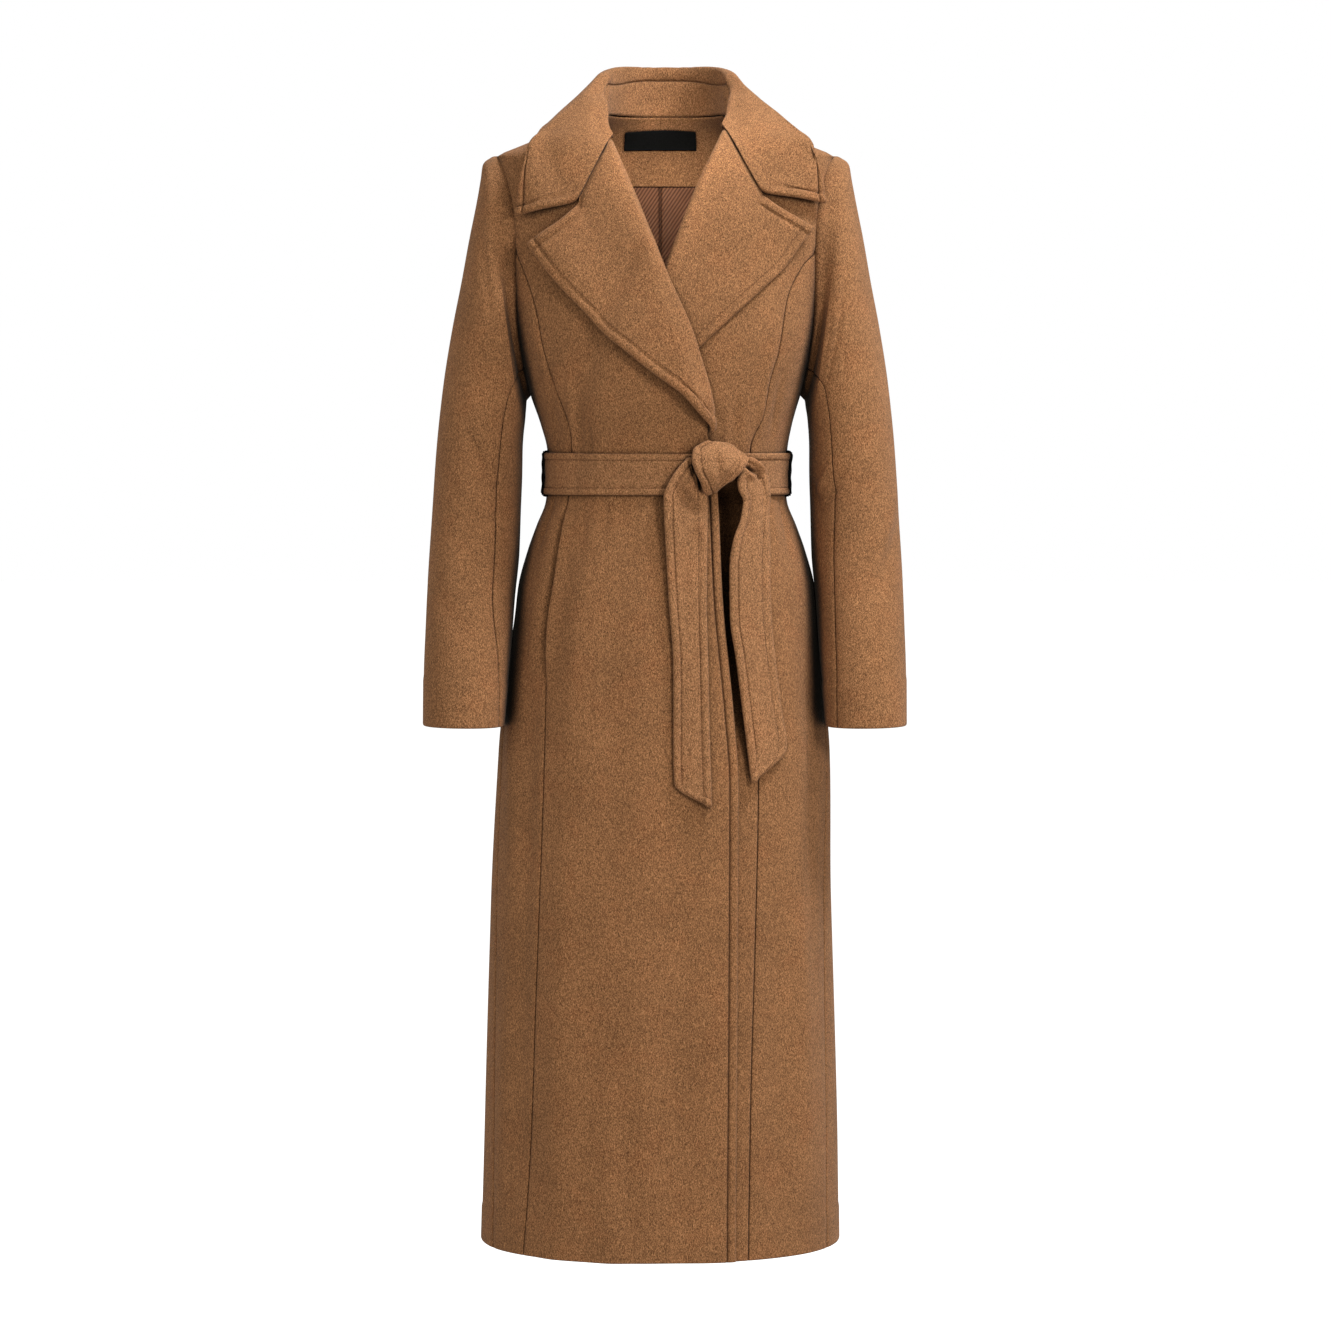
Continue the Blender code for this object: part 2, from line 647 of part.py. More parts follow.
def build_side_fronts():
    rows = BODY_ROWS[BODY_ROWS < SIDE_TOP_Z]
    add_panel("side_front_right", rows, side_right_grid)
    add_panel("side_front_left", rows, side_left_grid)


def back_seam(rows):
    """Side border of a back: side seam, then the armhole, then the shoulder seam."""
    return np.where(rows <= UNDERARM_Z, side_turn(rows), math.pi - armhole_turn(rows))


def back_left_grid(rows):
    middle = np.full(len(rows), math.pi)
    return panel_points(rows, back_seam(rows), middle, BACK_COLUMNS, 0.0)


def back_right_grid(rows):
    middle = np.full(len(rows), -math.pi)
    return panel_points(rows, middle, -back_seam(rows), BACK_COLUMNS, 0.0)


def build_backs():
    rows = np.append(BODY_ROWS, BACK_NECK_Z)
    add_panel("back_left", rows, back_left_grid)
    add_panel("back_right", rows, back_right_grid)


# ---------------------------------------------------------------- lapels and collar
def lapel_points(roll, outer, top, toward):
    """Grid from the roll line to the outer edge, bent over the roll at its first columns."""
    first_z, outer_top = float(top(0.0, "z")), float(top(1.0, "z"))
    down = np.linspace(0.0, 1.0, LAPEL_ROWS) ** LAPEL_ROW_POWER
    roll_z = first_z + (LAPEL_END_Z - first_z) * down
    outer_z = outer_top + (LAPEL_END_Z - LAPEL_END_DROP - outer_top) * down
    roll_line = np.stack([roll(roll_z, "x"), roll_z], axis=-1)
    outer_line = np.stack([outer(outer_z, "x"), outer_z], axis=-1)
    width = np.linalg.norm(outer_line - roll_line, axis=-1)
    near = np.minimum(ROLL_STEPS / width[:, None], ROLL_STEP_LIMITS)
    far = near[:, -1:] + (1.0 - near[:, -1:]) * np.linspace(0.0, 1.0, 6)[1:]
    across = np.hstack([near, far])
    flat = roll_line[:, None] + (outer_line - roll_line)[:, None] * across[..., None]
    top_line = np.stack([top(across[0], "x"), top(across[0], "z")], axis=-1)
    flat += (1.0 - down)[:, None, None] * (top_line - flat[0])[None]
    lift = front_lift(flat[..., 0], flat[..., 1]) if toward < 0 else 0.0
    away = across * width[:, None]
    round_edge = ROLL_START_OUT + ROLL_RISE * np.sqrt(away / ROLL_WIDTH)
    rolled = np.where(away < ROLL_WIDTH, round_edge, LAYER)
    under_other = smoothstep((flat[..., 1] - LAPEL_FLAT_Z) / LAPEL_FLAT_FADE)
    held = under_other if toward > 0 else 1.0
    spring = LAPEL_SPRING * held * smoothstep(away / LAPEL_SPRING_WIDTH)
    return on_front(flat[..., 0], flat[..., 1], lift + rolled + spring)


def build_lapels():
    points = lapel_points(RIGHT_EDGE, RIGHT_LAPEL, RIGHT_LAPEL_TOP, -1)
    add_cloth("lapel_right", points, CAMEL)
    points = lapel_points(LEFT_EDGE, LEFT_LAPEL, LEFT_LAPEL_TOP, +1)
    add_cloth("lapel_left", points, CAMEL, flip=True)


def collar_rib(table, along, side):
    """Points of one cut across the collar: up the stand, over the fold and down to the edge."""
    read = {name: table(along, name) for name in COLLAR_COLUMNS.split()[1:]}
    neck_turn, neck_z = np.radians(read["neck_turn"]), read["neck_z"]
    neck = section_point(side * neck_turn, neck_z + GAP)
    rise = np.array([-side * read["rise_in"], read["rise_y"], read["rise_z"]])
    height = np.linalg.norm(rise)
    inward = skin(side * neck_turn, neck_z, -1.0) - section_point(side * neck_turn, neck_z)
    inward[2] = 0.0
    inward /= np.linalg.norm(inward)
    across = STAND_FOLD * inward
    fold_drop = min(FOLD_DROP, FOLD_DROP_SHARE * height)
    points = []
    for share in STAND_SHARES:
        points.append(neck + across * STAND_LEAN + rise * share * (1 - fold_drop / height))
    top = neck + rise
    points.append(top + across - np.array([0, 0, fold_drop]))
    points.append(top)
    knots = np.radians([read["neck_turn"], read["knee_turn"], read["edge_turn"]])
    levels = [neck_z, read["knee_z"], read["edge_z"]]
    for share in FALL_SHARES:
        turn = side * np.interp(share, (0.0, KNEE_SHARE, 1.0), knots)
        level = np.interp(share, (0.0, KNEE_SHARE, 1.0), levels)
        bow = COLLAR_BOW * math.sin(math.pi * share) * min(1.0, height / BOW_HEIGHT)
        spring = COLLAR_SPRING * min(1.0, height / SPRING_HEIGHT)
        base = skin(turn, level, LAYER + spring + bow)
        points.append(base + rise * (1.0 - share) ** FALL_POWER)
    return np.array(points)


def build_collar():
    right = [collar_rib(RIGHT_COLLAR, along, -1) for along in COLLAR_STEPS]
    left = [collar_rib(LEFT_COLLAR, along, +1) for along in COLLAR_STEPS[:-1]]
    points = np.array(right + left[::-1])
    add_cloth("collar", points, CAMEL, flip=True)


# ---------------------------------------------------------------- inside the neck
def build_neck_inside():
    start, end = math.pi - FACING_REACH, math.pi + FACING_REACH
    points = panel_points(FACING_ROWS, start, end, NECK_COLUMNS, -INSIDE_LAYER)
    add_cloth("back_neck_facing", points, CAMEL)
    start, end = math.pi - LINING_REACH, math.pi + LINING_REACH
    points = panel_points(LINING_ROWS, start, end, NECK_COLUMNS, -INSIDE_LAYER)
    add_cloth("back_lining", points, BROWN_LINING, wall=LINING_WALL)


def build_label():
    width, height = LABEL_SIZE
    x = LABEL_CENTRE[0] + width * np.linspace(0.5, -0.5, 7)
    z = LABEL_CENTRE[1] + height * np.linspace(-0.5, 0.5, 2)
    x, z = np.meshgrid(x, z)
    turn = math.pi - turn_at(x, z)
    inner = INSIDE_LAYER + LAYER + LABEL_WALL
    points = skin(turn, z, -inner)
    add_cloth("neck_label", points, BLACK, wall=LABEL_WALL, flip=True)


# ---------------------------------------------------------------- sleeves
def armhole_point(side, angle, away):
    """Point beside the armhole seam: angle 0 is the shoulder tip, 90 degrees the front."""
    z = UNDERARM_Z / 2 * (1 - np.cos(angle))
    turn = armhole_turn(z)
    turn = np.where(np.sin(angle) < 0, math.pi - turn, turn)
    turn = np.where(np.abs(np.sin(angle)) < 1e-9, math.pi / 2, turn)
    low = smoothstep((1 - np.cos(angle)) / 2)[..., None]
    down_out = np.array([side * SHOULDER_SLOPE[0], 0.0, SHOULDER_SLOPE[1]])
    toward = down_out * (1 - low) + np.array([side, 0.0, 0.05]) * low
    return section_point(side * turn, z) + toward * away


def sleeve_section(side, along, angle):
    """Points of one oval section of the sleeve: angle 0 is its outer line, 90 degrees the front."""
    read = {name: SLEEVE(along, name) for name in SLEEVE.names[1:]}
    outer = np.array([side * read["outer_x"], read["centre_y"], read["outer_z"]])
    inner = np.array([side * read["inner_x"], read["centre_y"], read["inner_z"]])
    middle, half = (outer + inner) / 2, (outer - inner) / 2
    cosine, sine = np.cos(angle), np.sin(angle)
    long_way = (np.sign(cosine) * np.abs(cosine) ** SLEEVE_OVALNESS)[..., None] * half
    depth_way = (np.sign(sine) * np.abs(sine) ** SLEEVE_OVALNESS * read["half_depth"])[..., None]
    lean = np.array([LEFT_SLEEVE_LEAN * (1.0 - 1.5 * along) * (side > 0), 0.0, 0.0])
    return middle + lean + long_way + depth_way * np.array([0.0, -1.0, 0.0])


def sleeve_ring(side, along, angle):
    """Points round the sleeve, which starts on the armhole and takes its own section lower down."""
    if along == 0.0:
        return armhole_point(side, angle, ARMHOLE_GAP)
    blend = max(0.0, 1.0 - along / SLEEVE_HEAD_END) ** 2
    shift = armhole_point(side, angle, SLEEVE_HEAD_REACH) - sleeve_section(side, 0.0, angle)
    return sleeve_section(side, along, angle) + shift * blend


def sleeve_points(side, start_name, end_name, count):
    """Grid of one sleeve piece between its two seams, from the cuff up to the armhole."""
    rows = []
    for along in SLEEVE_RINGS[::-1]:
        start = math.radians(float(SLEEVE_SEAMS(along, start_name)))
        end = math.radians(float(SLEEVE_SEAMS(along, end_name)))
        if end < start:
            end += 2 * math.pi
        even = np.linspace(0.0, 1.0, count)
        border = SLEEVE_BORDER / (end - start)
        across = np.concatenate([[0.0, border], even[1:-1], [1.0 - border, 1.0]])
        angle = start + SLEEVE_SEAM_INSET + (end - start - 2 * SLEEVE_SEAM_INSET) * across
        rows.append(sleeve_ring(side, along, angle))
    return np.array(rows)


def build_sleeves():
    for side, word in ((-1, "right"), (+1, "left")):
        front = word + "_front"
        points = sleeve_points(side, "back", front, 15)
        add_cloth("upper_sleeve_" + word, points, CAMEL, flip=side > 0)
        points = sleeve_points(side, front, "back", 5)
        add_cloth("under_sleeve_" + word, points, CAMEL, flip=side > 0)


# ---------------------------------------------------------------- belt
def belt_out(turn, z):
    """Height of the belt's outer face over the coat's surface."""
    x = section_point(turn, z)[..., 0]
    covered = smoothstep((RIGHT_EDGE(z, "x") - x) / BELT_STEP + 1.0) * (np.cos(turn) > 0)
    return front_lift(x, z) * covered + BELT_GAP + BELT_WALL


def build_belt_band():
    half = BELT_WIDTH / 2
    rows = BELT_Z + np.array([-half, 0.0, half])
    start = float(turn_at(BELT_START_X, BELT_Z))
    end = float(turn_at(BELT_END_X, BELT_Z)) + 2 * math.pi
    turn = np.linspace(start, end, BELT_COLUMNS)
    turn, z = np.meshgrid(turn, rows)
    points = skin(turn, z, belt_out(turn, z))
    add_cloth("belt_band", points, CAMEL, wall=BELT_WALL)


def tail_points(table, columns):
    z = table.keys
    across = np.linspace(0.0, 1.0, columns)
    left, right = table(z, "left")[:, None], table(z, "right")[:, None]
    left_out, right_out = table(z, "left_out")[:, None], table(z, "right_out")[:, None]
    x = left + (right - left) * across
    level = np.repeat(z[:, None], columns, axis=1)
    crown = TAIL_CROWN * np.sin(math.pi * across)
    out = left_out + (right_out - left_out) * across + crown
    return on_front(x, level, out)


def build_tails():
    add_cloth("belt_tail_right", tail_points(RIGHT_TAIL, TAIL_COLUMNS), CAMEL, wall=BELT_WALL)
    add_cloth("belt_tail_left", tail_points(LEFT_TAIL, TAIL_COLUMNS), CAMEL, wall=BELT_WALL)


def build_knot():
    along = np.linspace(1.0, 0.0, KNOT_ROWS)[:, None]
    across = np.linspace(0.0, 1.0, KNOT_COLUMNS)
    read = {name: KNOT_WRAP(along, name) for name in KNOT_WRAP.names[1:]}
    x = read["left"] + (read["right"] - read["left"]) * across
    z = read["left_z"] + (read["right_z"] - read["left_z"]) * across
    out = read["out"] + KNOT_CROWN * (np.sin(math.pi * across) - 0.5)
    add_cloth("belt_knot_wrap", on_front(x, z, out), CAMEL, wall=BELT_WALL)
    mesh = bpy.data.meshes.new("belt_knot_core")
    shape = bmesh.new()
    bmesh.ops.create_uvsphere(shape, u_segments=14, v_segments=8, radius=1.0)
    bmesh.ops.scale(shape, vec=KNOT_CORE_SIZE, verts=shape.verts)
    shape.to_mesh(mesh)
    shape.free()
    core = add_object("belt_knot_core", mesh, CAMEL)
    x, z, out = KNOT_CORE
    core.location = on_front(x, z, out).tolist()
    core.rotation_euler = (0.0, 0.0, KNOT_CORE_TURN)


def build_loops():
    for side, word in ((-1, "right"), (+1, "left")):
        name = "belt_loop_" + word
        curve = bpy.data.curves.new(name, "CURVE")
        curve.dimensions = "3D"
        curve.bevel_depth = LOOP_THREAD
        curve.bevel_resolution = 1
        curve.use_fill_caps = True
        spline = curve.splines.new("POLY")
        spline.points.add(len(LOOP_PATH) - 1)
        turn = side * math.radians(LOOP_TURN)
        for point, (rise, out) in zip(spline.points, LOOP_PATH):
            point.co = (*skin(turn, BELT_Z + rise, out).tolist(), 1.0)
        loop = bpy.data.objects.new(name, curve)
        bpy.data.collections["wool_wrap_coat"].objects.link(loop)
        curve.materials.append(cloth_material(name, BLACK, 0.8))


def build_scene():
    for old in list(bpy.data.objects):
        bpy.data.objects.remove(old, do_unlink=True)
    collection = bpy.data.collections.new("wool_wrap_coat")
    bpy.context.scene.collection.children.link(collection)
    build_fronts()
    build_side_fronts()
    build_backs()
    build_lapels()
    build_collar()
    build_neck_inside()
    build_label()
    build_sleeves()
    build_belt_band()
    build_tails()
    build_knot()
    build_loops()


build_scene()
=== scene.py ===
"""Cloth, sewing and finishes of a belted wool wrap coat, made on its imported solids.

The wearer faces -Y, with their left side at +X, and the origin lies between the shoulder tips.
"""

import math

import bpy
import numpy as np
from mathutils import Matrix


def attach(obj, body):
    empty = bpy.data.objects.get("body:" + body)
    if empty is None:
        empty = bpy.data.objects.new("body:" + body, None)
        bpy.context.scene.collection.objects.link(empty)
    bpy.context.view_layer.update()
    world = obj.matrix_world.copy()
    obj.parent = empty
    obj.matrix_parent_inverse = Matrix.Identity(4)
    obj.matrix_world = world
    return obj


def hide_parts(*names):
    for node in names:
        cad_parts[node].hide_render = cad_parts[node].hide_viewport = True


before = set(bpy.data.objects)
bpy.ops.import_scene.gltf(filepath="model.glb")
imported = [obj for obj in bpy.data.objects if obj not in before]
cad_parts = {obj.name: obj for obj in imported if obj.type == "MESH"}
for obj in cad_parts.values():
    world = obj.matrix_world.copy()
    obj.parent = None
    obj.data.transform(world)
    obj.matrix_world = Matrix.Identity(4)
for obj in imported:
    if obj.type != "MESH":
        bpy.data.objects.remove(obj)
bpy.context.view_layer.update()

bl_info = {
    "name": "Wool Wrap Coat",
    "version": (1, 0, 0),
    "blender": (4, 5, 0),
    "location": "3D View > Sidebar > Coat",
    "description": "Makes the cloth, sewing and finishes of a belted wool wrap coat",
    "category": "Add Mesh",
}

# ---------------------------------------------------------------- sizes, in metres
HEM_Z = -1.211
WALL = 0.0025
GAP = 0.0004
LAYER = WALL + 0.0013
INSIDE_LAYER = WALL + 0.0016
ROLL_SETBACK = 0.0075
UNDERARM_Z = -0.262
BELT_Z = -0.351
BELT_WIDTH = 0.047
BELT_WALL = 0.0036
BELT_GAP = 0.0012
STAND_FOLD = 0.0034
COLLAR_SPRING = 0.0042
COLLAR_BOW = 0.002
LAPEL_SPRING = 0.0046
LAPEL_TIP_LIFT = (0.0085, 0.003)
ROLL_BELLY = 0.006
LABEL_CENTRE = (-0.006, 0.0265)
LABEL_WALL = 0.0006
LINING_END_Z = -0.3
FACING_END_Z = -0.027
FACING_TOP_Z = 0.0515
LINING_WALL = 0.0015
LINING_GAP = 0.0006

# Lift of the right front where it lies on the left front and its lapel.
LIFT_BESIDE = 0.042
LIFT_RAMP = 0.026
LIFT_TOP_Z = -0.06
LIFT_FADE = 0.045
LAPEL_LIFT_END_Z = -0.385
LAPEL_LIFT_FADE = 0.06

# Lapels, and the rolls that they turn back over.
LAPEL_END_Z = -0.3
LAPEL_END_DROP = 0.004
ROLL_START_OUT = -0.0016
ROLL_WIDTH = 0.0042
ROLL_TOP_Z = 0.06
ROLL_END_Z = -0.325
ROLL_FADE = 0.02
LAPEL_FLAT_Z = -0.125
LAPEL_FLAT_FADE = 0.06
LAPEL_SPRING_WIDTH = 0.02
LAPEL_LENGTH = 0.34
LAPEL_ROWS = 84
LAPEL_SLANT = 1.35
LAPEL_SPACING = 0.004
LAPEL_END_STEPS = np.array([0.0016, 0.0004, 0.0])
LAPEL_CREASE_SHARE = 0.6
ROLL_STEPS = np.array([0.0, 0.0002, 0.0006, 0.0012, 0.002, 0.003, 0.0042, 0.006, 0.0085])
LAP_ALONG_ROLL = (0.38, 0.92)
LAP_ALONG_GORGE = (0.85, 0.53)
LAP_TURN = 0.016
LAP_FADE = 0.03
LAP_SINK = 0.0024

# Collar.
STAND_LEAN = 1.9
STAND_TUCK = 0.07
GORGE_REACH = 0.30
TIP_SPRING = 0.008
ROW_SIDE_Z = 0.0815
ROW_RISE = 0.0085
ROW_STEPS = np.array([-0.0018, -0.0009, -0.0004, 0.0, 0.0004, 0.0009, 0.0018])
FOLD_DROP = 0.004
FOLD_DROP_SHARE = 0.4
KNEE_SHARE = 0.40
FALL_POWER = 1.15
BOW_HEIGHT = 0.03
SPRING_HEIGHT = 0.02
COLLAR_HALF_LENGTH = 0.31
COLLAR_SPACING = 0.0032
ROW_DEPTH = 0.002
ROW_SPREAD = 0.0009

# Belt, and how its end borders and stitch rows lie.
BELT_START_X = 0.082
BELT_END_X = 0.03
BELT_STEP = 0.02
BELT_RADIUS = 0.125
BELT_END_RADIUS = 0.12
BELT_STITCH_IN = 0.0078
BELT_STITCH_LINE = 9
BELT_EDGE_RADIUS = 0.0022
BELT_GROOVE = 0.0006
BELT_PUFF = 0.0007
TAIL_CROWN = 0.0012
TAIL_WIDTH = 0.04
TAIL_STITCH_IN = 0.0088
TAIL_GROOVE = 0.001
TAIL_PUFF = 0.0013
TAIL_FINE_LENGTH = 0.085
WRAP_WIDTH = 0.05
WRAP_LENGTH = 0.075


class Table:
    """Rows with named columns, read smoothly along the first column without overshoot."""

    def __init__(self, names, *rows):
        self.names = names.split()
        data = np.array(sorted(rows), float)
        self.keys = data[:, 0]
        self.values = data[:, 1:]
        step = np.diff(self.keys)[:, None]
        slope = np.diff(self.values, axis=0) / step
        before, after = slope[:-1], slope[1:]
        same_way = before * after > 0
        total = np.where(same_way, before + after, 1.0)
        inner = np.where(same_way, 2 * before * after / total, 0.0)
        self.slopes = np.vstack([slope[:1], inner, slope[-1:]])

    def __call__(self, at, name):
        column = self.names.index(name) - 1
        at = np.clip(np.asarray(at, float), self.keys[0], self.keys[-1])
        low = np.clip(np.searchsorted(self.keys, at) - 1, 0, len(self.keys) - 2)
        width = self.keys[low + 1] - self.keys[low]
        part = (at - self.keys[low]) / width
        start, end = self.values[low, column], self.values[low + 1, column]
        leave, arrive = self.slopes[low, column] * width, self.slopes[low + 1, column] * width
        cubic = 2 * start - 2 * end + leave + arrive
        square = -3 * start + 3 * end - 2 * leave - arrive
        return ((cubic * part + square) * part + leave) * part + start


# Level sections of the coat, from the neckline down to the hem.
BODY = Table(
    "z half_width shift front back squareness",
    (0.053, 0.066, 0.0, 0.042, 0.074, 2.0),
    (0.047, 0.075, 0.0, 0.048, 0.077, 2.0),
    (0.033, 0.11, 0.0, 0.058, 0.082, 2.1),
    (0.017, 0.149, 0.0, 0.068, 0.088, 2.2),
    (0.008, 0.171, 0.0, 0.073, 0.091, 2.2),
    (0.0, 0.188, 0.0, 0.078, 0.093, 2.3),
    (-0.03, 0.189, 0.0, 0.087, 0.098, 2.3),
    (-0.07, 0.186, 0.0, 0.098, 0.101, 2.3),
    (-0.11, 0.181, 0.0, 0.109, 0.1, 2.3),
    (-0.16, 0.175, 0.0, 0.118, 0.097, 2.3),
    (-0.2, 0.168, 0.0, 0.121, 0.093, 2.3),
    (-0.262, 0.151, 0.0, 0.116, 0.087, 2.2),
    (-0.297, 0.14, 0.001, 0.109, 0.083, 2.2),
    (-0.325, 0.134, 0.002, 0.105, 0.081, 2.2),
    (-0.353, 0.1325, 0.001, 0.104, 0.081, 2.2),
    (-0.381, 0.1345, 0.001, 0.106, 0.084, 2.2),
    (-0.409, 0.145, 0.001, 0.11, 0.09, 2.2),
    (-0.437, 0.155, 0.001, 0.114, 0.097, 2.2),
    (-0.476, 0.1655, 0.001, 0.12, 0.106, 2.2),
    (-0.51, 0.1695, 0.001, 0.124, 0.111, 2.2),
    (-0.545, 0.174, 0.0, 0.127, 0.115, 2.2),
    (-0.6, 0.18, -0.001, 0.131, 0.118, 2.2),
    (-0.661, 0.1855, -0.0015, 0.134, 0.121, 2.2),
    (-0.83, 0.191, -0.005, 0.141, 0.129, 2.2),
    (-1.057, 0.198, -0.005, 0.149, 0.141, 2.2),
    (HEM_Z, 0.2015, -0.006, 0.154, 0.149, 2.2),
)
ARMHOLE = Table(
    "z x",
    (0.0, 0.188),
    (-0.01, 0.182),
    (-0.034, 0.174),
    (-0.06, 0.1685),
    (-0.085, 0.1665),
    (-0.162, 0.165),
    (-0.218, 0.1595),
    (-0.246, 0.1545),
    (UNDERARM_Z, 0.151),
)
RIGHT_EDGE = Table(
    "z x",
    (0.047, -0.075),
    (0.017, -0.0585),
    (-0.042, -0.033),
    (-0.124, -0.001),
    (-0.21, 0.035),
    (-0.292, 0.053),
    (-0.31, 0.051),
    (-0.383, 0.057),
    (-0.486, 0.062),
    (-0.614, 0.074),
    (-0.688, 0.079),
    (-0.923, 0.078),
    (HEM_Z, 0.076),
)
LEFT_EDGE = Table(
    "z x",
    (0.047, 0.075),
    (0.028, 0.0635),
    (-0.036, 0.033),
    (-0.124, -0.001),
    (-0.21, -0.037),
    (-0.292, -0.055),
    (-0.31, -0.053),
    (-0.383, -0.06),
    (-0.6, -0.085),
    (HEM_Z, -0.105),
)
RIGHT_PRINCESS = Table(
    "z x",
    (-0.095, -0.1665),
    (-0.108, -0.1648),
    (-0.12, -0.16),
    (-0.143, -0.151),
    (-0.173, -0.142),
    (-0.21, -0.135),
    (-0.249, -0.125),
    (-0.284, -0.111),
    (-0.312, -0.1035),
    (-0.353, -0.105),
    (-0.406, -0.112),
    (-0.454, -0.12),
    (-0.533, -0.131),
    (-0.664, -0.134),
    (-0.951, -0.144),
    (-1.067, -0.148),
    (HEM_Z, -0.157),
)
LEFT_PRINCESS = Table(
    "z x",
    (-0.095, 0.1665),
    (-0.108, 0.1648),
    (-0.12, 0.1535),
    (-0.159, 0.135),
    (-0.22, 0.124),
    (-0.249, 0.115),
    (-0.286, 0.108),
    (-0.322, 0.094),
    (-0.353, 0.092),
    (-0.45, 0.098),
    (-0.689, 0.102),
    (-0.849, 0.099),
    (-1.026, 0.094),
    (HEM_Z, 0.091),
)
PRINCESS_TOP_Z = -0.098
SIDE_TOP_Z = -0.108
SIDE_SEAM = Table("z turn", (UNDERARM_Z, 90.0), (-0.353, 88.0), (-0.60, 78.0), (HEM_Z, 66.0))
RIGHT_LAPEL = Table(
    "z x",
    (-0.101, -0.1428),
    (-0.131, -0.124),
    (-0.155, -0.105),
    (-0.176, -0.085),
    (-0.197, -0.066),
    (-0.212, -0.046),
    (-0.239, -0.013),
    (-0.26, 0.015),
    (-0.282, 0.036),
    (-0.296, 0.047),
    (-0.31, 0.051),
)
LEFT_LAPEL = Table(
    "z x",
    (-0.0815, 0.1565),
    (-0.0906, 0.1513),
    (-0.1172, 0.1351),
    (-0.126, 0.129),
    (-0.14, 0.115),
    (-0.158, 0.096),
    (-0.185, 0.067),
    (-0.213, 0.037),
    (-0.24, 0.01),
    (-0.262, -0.018),
    (-0.282, -0.04),
    (-0.31, -0.053),
)
NOTCH_SHARE = 0.45
RIGHT_LAPEL_TOP = Table(
    "across x z", (0.0, -0.0585, 0.017), (NOTCH_SHARE, -0.094, -0.0558), (1.0, -0.1428, -0.101)
)
LEFT_LAPEL_TOP = Table(
    "across x z", (0.0, 0.0635, 0.028), (NOTCH_SHARE, 0.1036, -0.0453), (1.0, 0.1565, -0.0815)
)
COLLAR_COLUMNS = "along neck_turn neck_z rise_in rise_y rise_z knee_turn knee_z edge_turn edge_z"
RIGHT_COLLAR = Table(
    COLLAR_COLUMNS,
    (0.00, 21.0, 0.0176, 0.0, -0.001, 0.005, 28.0, -0.0575, 55.8, -0.0695),
    (0.18, 45.0, 0.036, 0.0085, 0.01, 0.023, 47.0, 0.012, 50.0, -0.015),
    (0.24, 58.7, 0.04, 0.0082, 0.0113, 0.0303, 54.0, 0.02, 48.5, -0.0005),
    (0.28, 67.8, 0.0427, 0.008, 0.0122, 0.0352, 62.0, 0.029, 55.0, 0.0095),
    (0.36, 86.0, 0.048, 0.0075, 0.014, 0.045, 83.0, 0.0395, 84.0, 0.0255),
    (0.52, 116.0, 0.0518, 0.007, 0.008, 0.052, 113.0, 0.04, 111.0, 0.019),
    (0.72, 142.0, 0.0522, 0.003, 0.0, 0.054, 138.0, 0.039, 133.0, 0.018),
    (1.00, 180.0, 0.0524, 0.0, -0.003, 0.054, 180.0, 0.039, 180.0, 0.018),
)
LEFT_COLLAR = Table(
    COLLAR_COLUMNS,
    (0.00, 30.0, 0.029, 0.0, -0.001, 0.005, 30.6, -0.047, 62.0, -0.0545),
    (0.18, 50.0, 0.039, 0.002, 0.01, 0.023, 52.0, 0.012, 56.5, -0.0165),
    (0.24, 62.0, 0.042, 0.0022, 0.0113, 0.0303, 60.0, 0.02, 54.0, -0.001),
    (0.28, 70.0, 0.044, 0.0023, 0.0122, 0.0352, 66.0, 0.03, 58.0, 0.009),
    (0.36, 86.0, 0.048, 0.003, 0.014, 0.045, 83.0, 0.0405, 84.0, 0.025),
    (0.52, 116.0, 0.0518, 0.003, 0.008, 0.052, 113.0, 0.04, 111.0, 0.019),
    (0.72, 142.0, 0.0522, 0.001, 0.0, 0.054, 138.0, 0.039, 133.0, 0.018),
    (1.00, 180.0, 0.0524, 0.0, -0.003, 0.054, 180.0, 0.039, 180.0, 0.018),
)
SLEEVE = Table(
    "along outer_x outer_z inner_x inner_z centre_y half_depth",
    (0.00, 0.188, 0.0, 0.151, UNDERARM_Z, 0.0, 0.052),
    (0.03, 0.1965, -0.0025, 0.1525, -0.27, 0.0, 0.055),
    (0.06, 0.2015, -0.0085, 0.1535, -0.277, 0.0, 0.058),
    (0.12, 0.2045, -0.024, 0.155, -0.284, 0.0, 0.063),
    (0.19, 0.21, -0.052, 0.1562, -0.29, 0.0, 0.067),
    (0.27, 0.218, -0.09, 0.1572, -0.297, 0.0, 0.069),
    (0.36, 0.227, -0.138, 0.1585, -0.308, 0.001, 0.069),
    (0.45, 0.238, -0.193, 0.1595, -0.323, 0.002, 0.068),
    (0.54, 0.248, -0.255, 0.16, -0.352, 0.002, 0.066),
    (0.63, 0.2555, -0.325, 0.1615, -0.392, -0.002, 0.063),
    (0.72, 0.26, -0.395, 0.163, -0.44, -0.01, 0.061),
    (0.80, 0.264, -0.465, 0.1675, -0.49, -0.026, 0.058),
    (0.87, 0.266, -0.52, 0.1705, -0.535, -0.04, 0.056),
    (0.94, 0.2675, -0.575, 0.1745, -0.582, -0.053, 0.053),
    (1.00, 0.2675, -0.628, 0.1785, -0.629, -0.063, 0.051),
)
SLEEVE_LENGTH = 0.66
SLEEVE_RADIUS = 0.058
SLEEVE_FIRST = 0.03
SLEEVE_HEAD_END = 0.27
SLEEVE_OVALNESS = 0.92
SLEEVE_SEAM_INSET = -0.003
SLEEVE_HEAD_REACH = 0.003
SHOULDER_SLOPE = (0.92, -0.39)
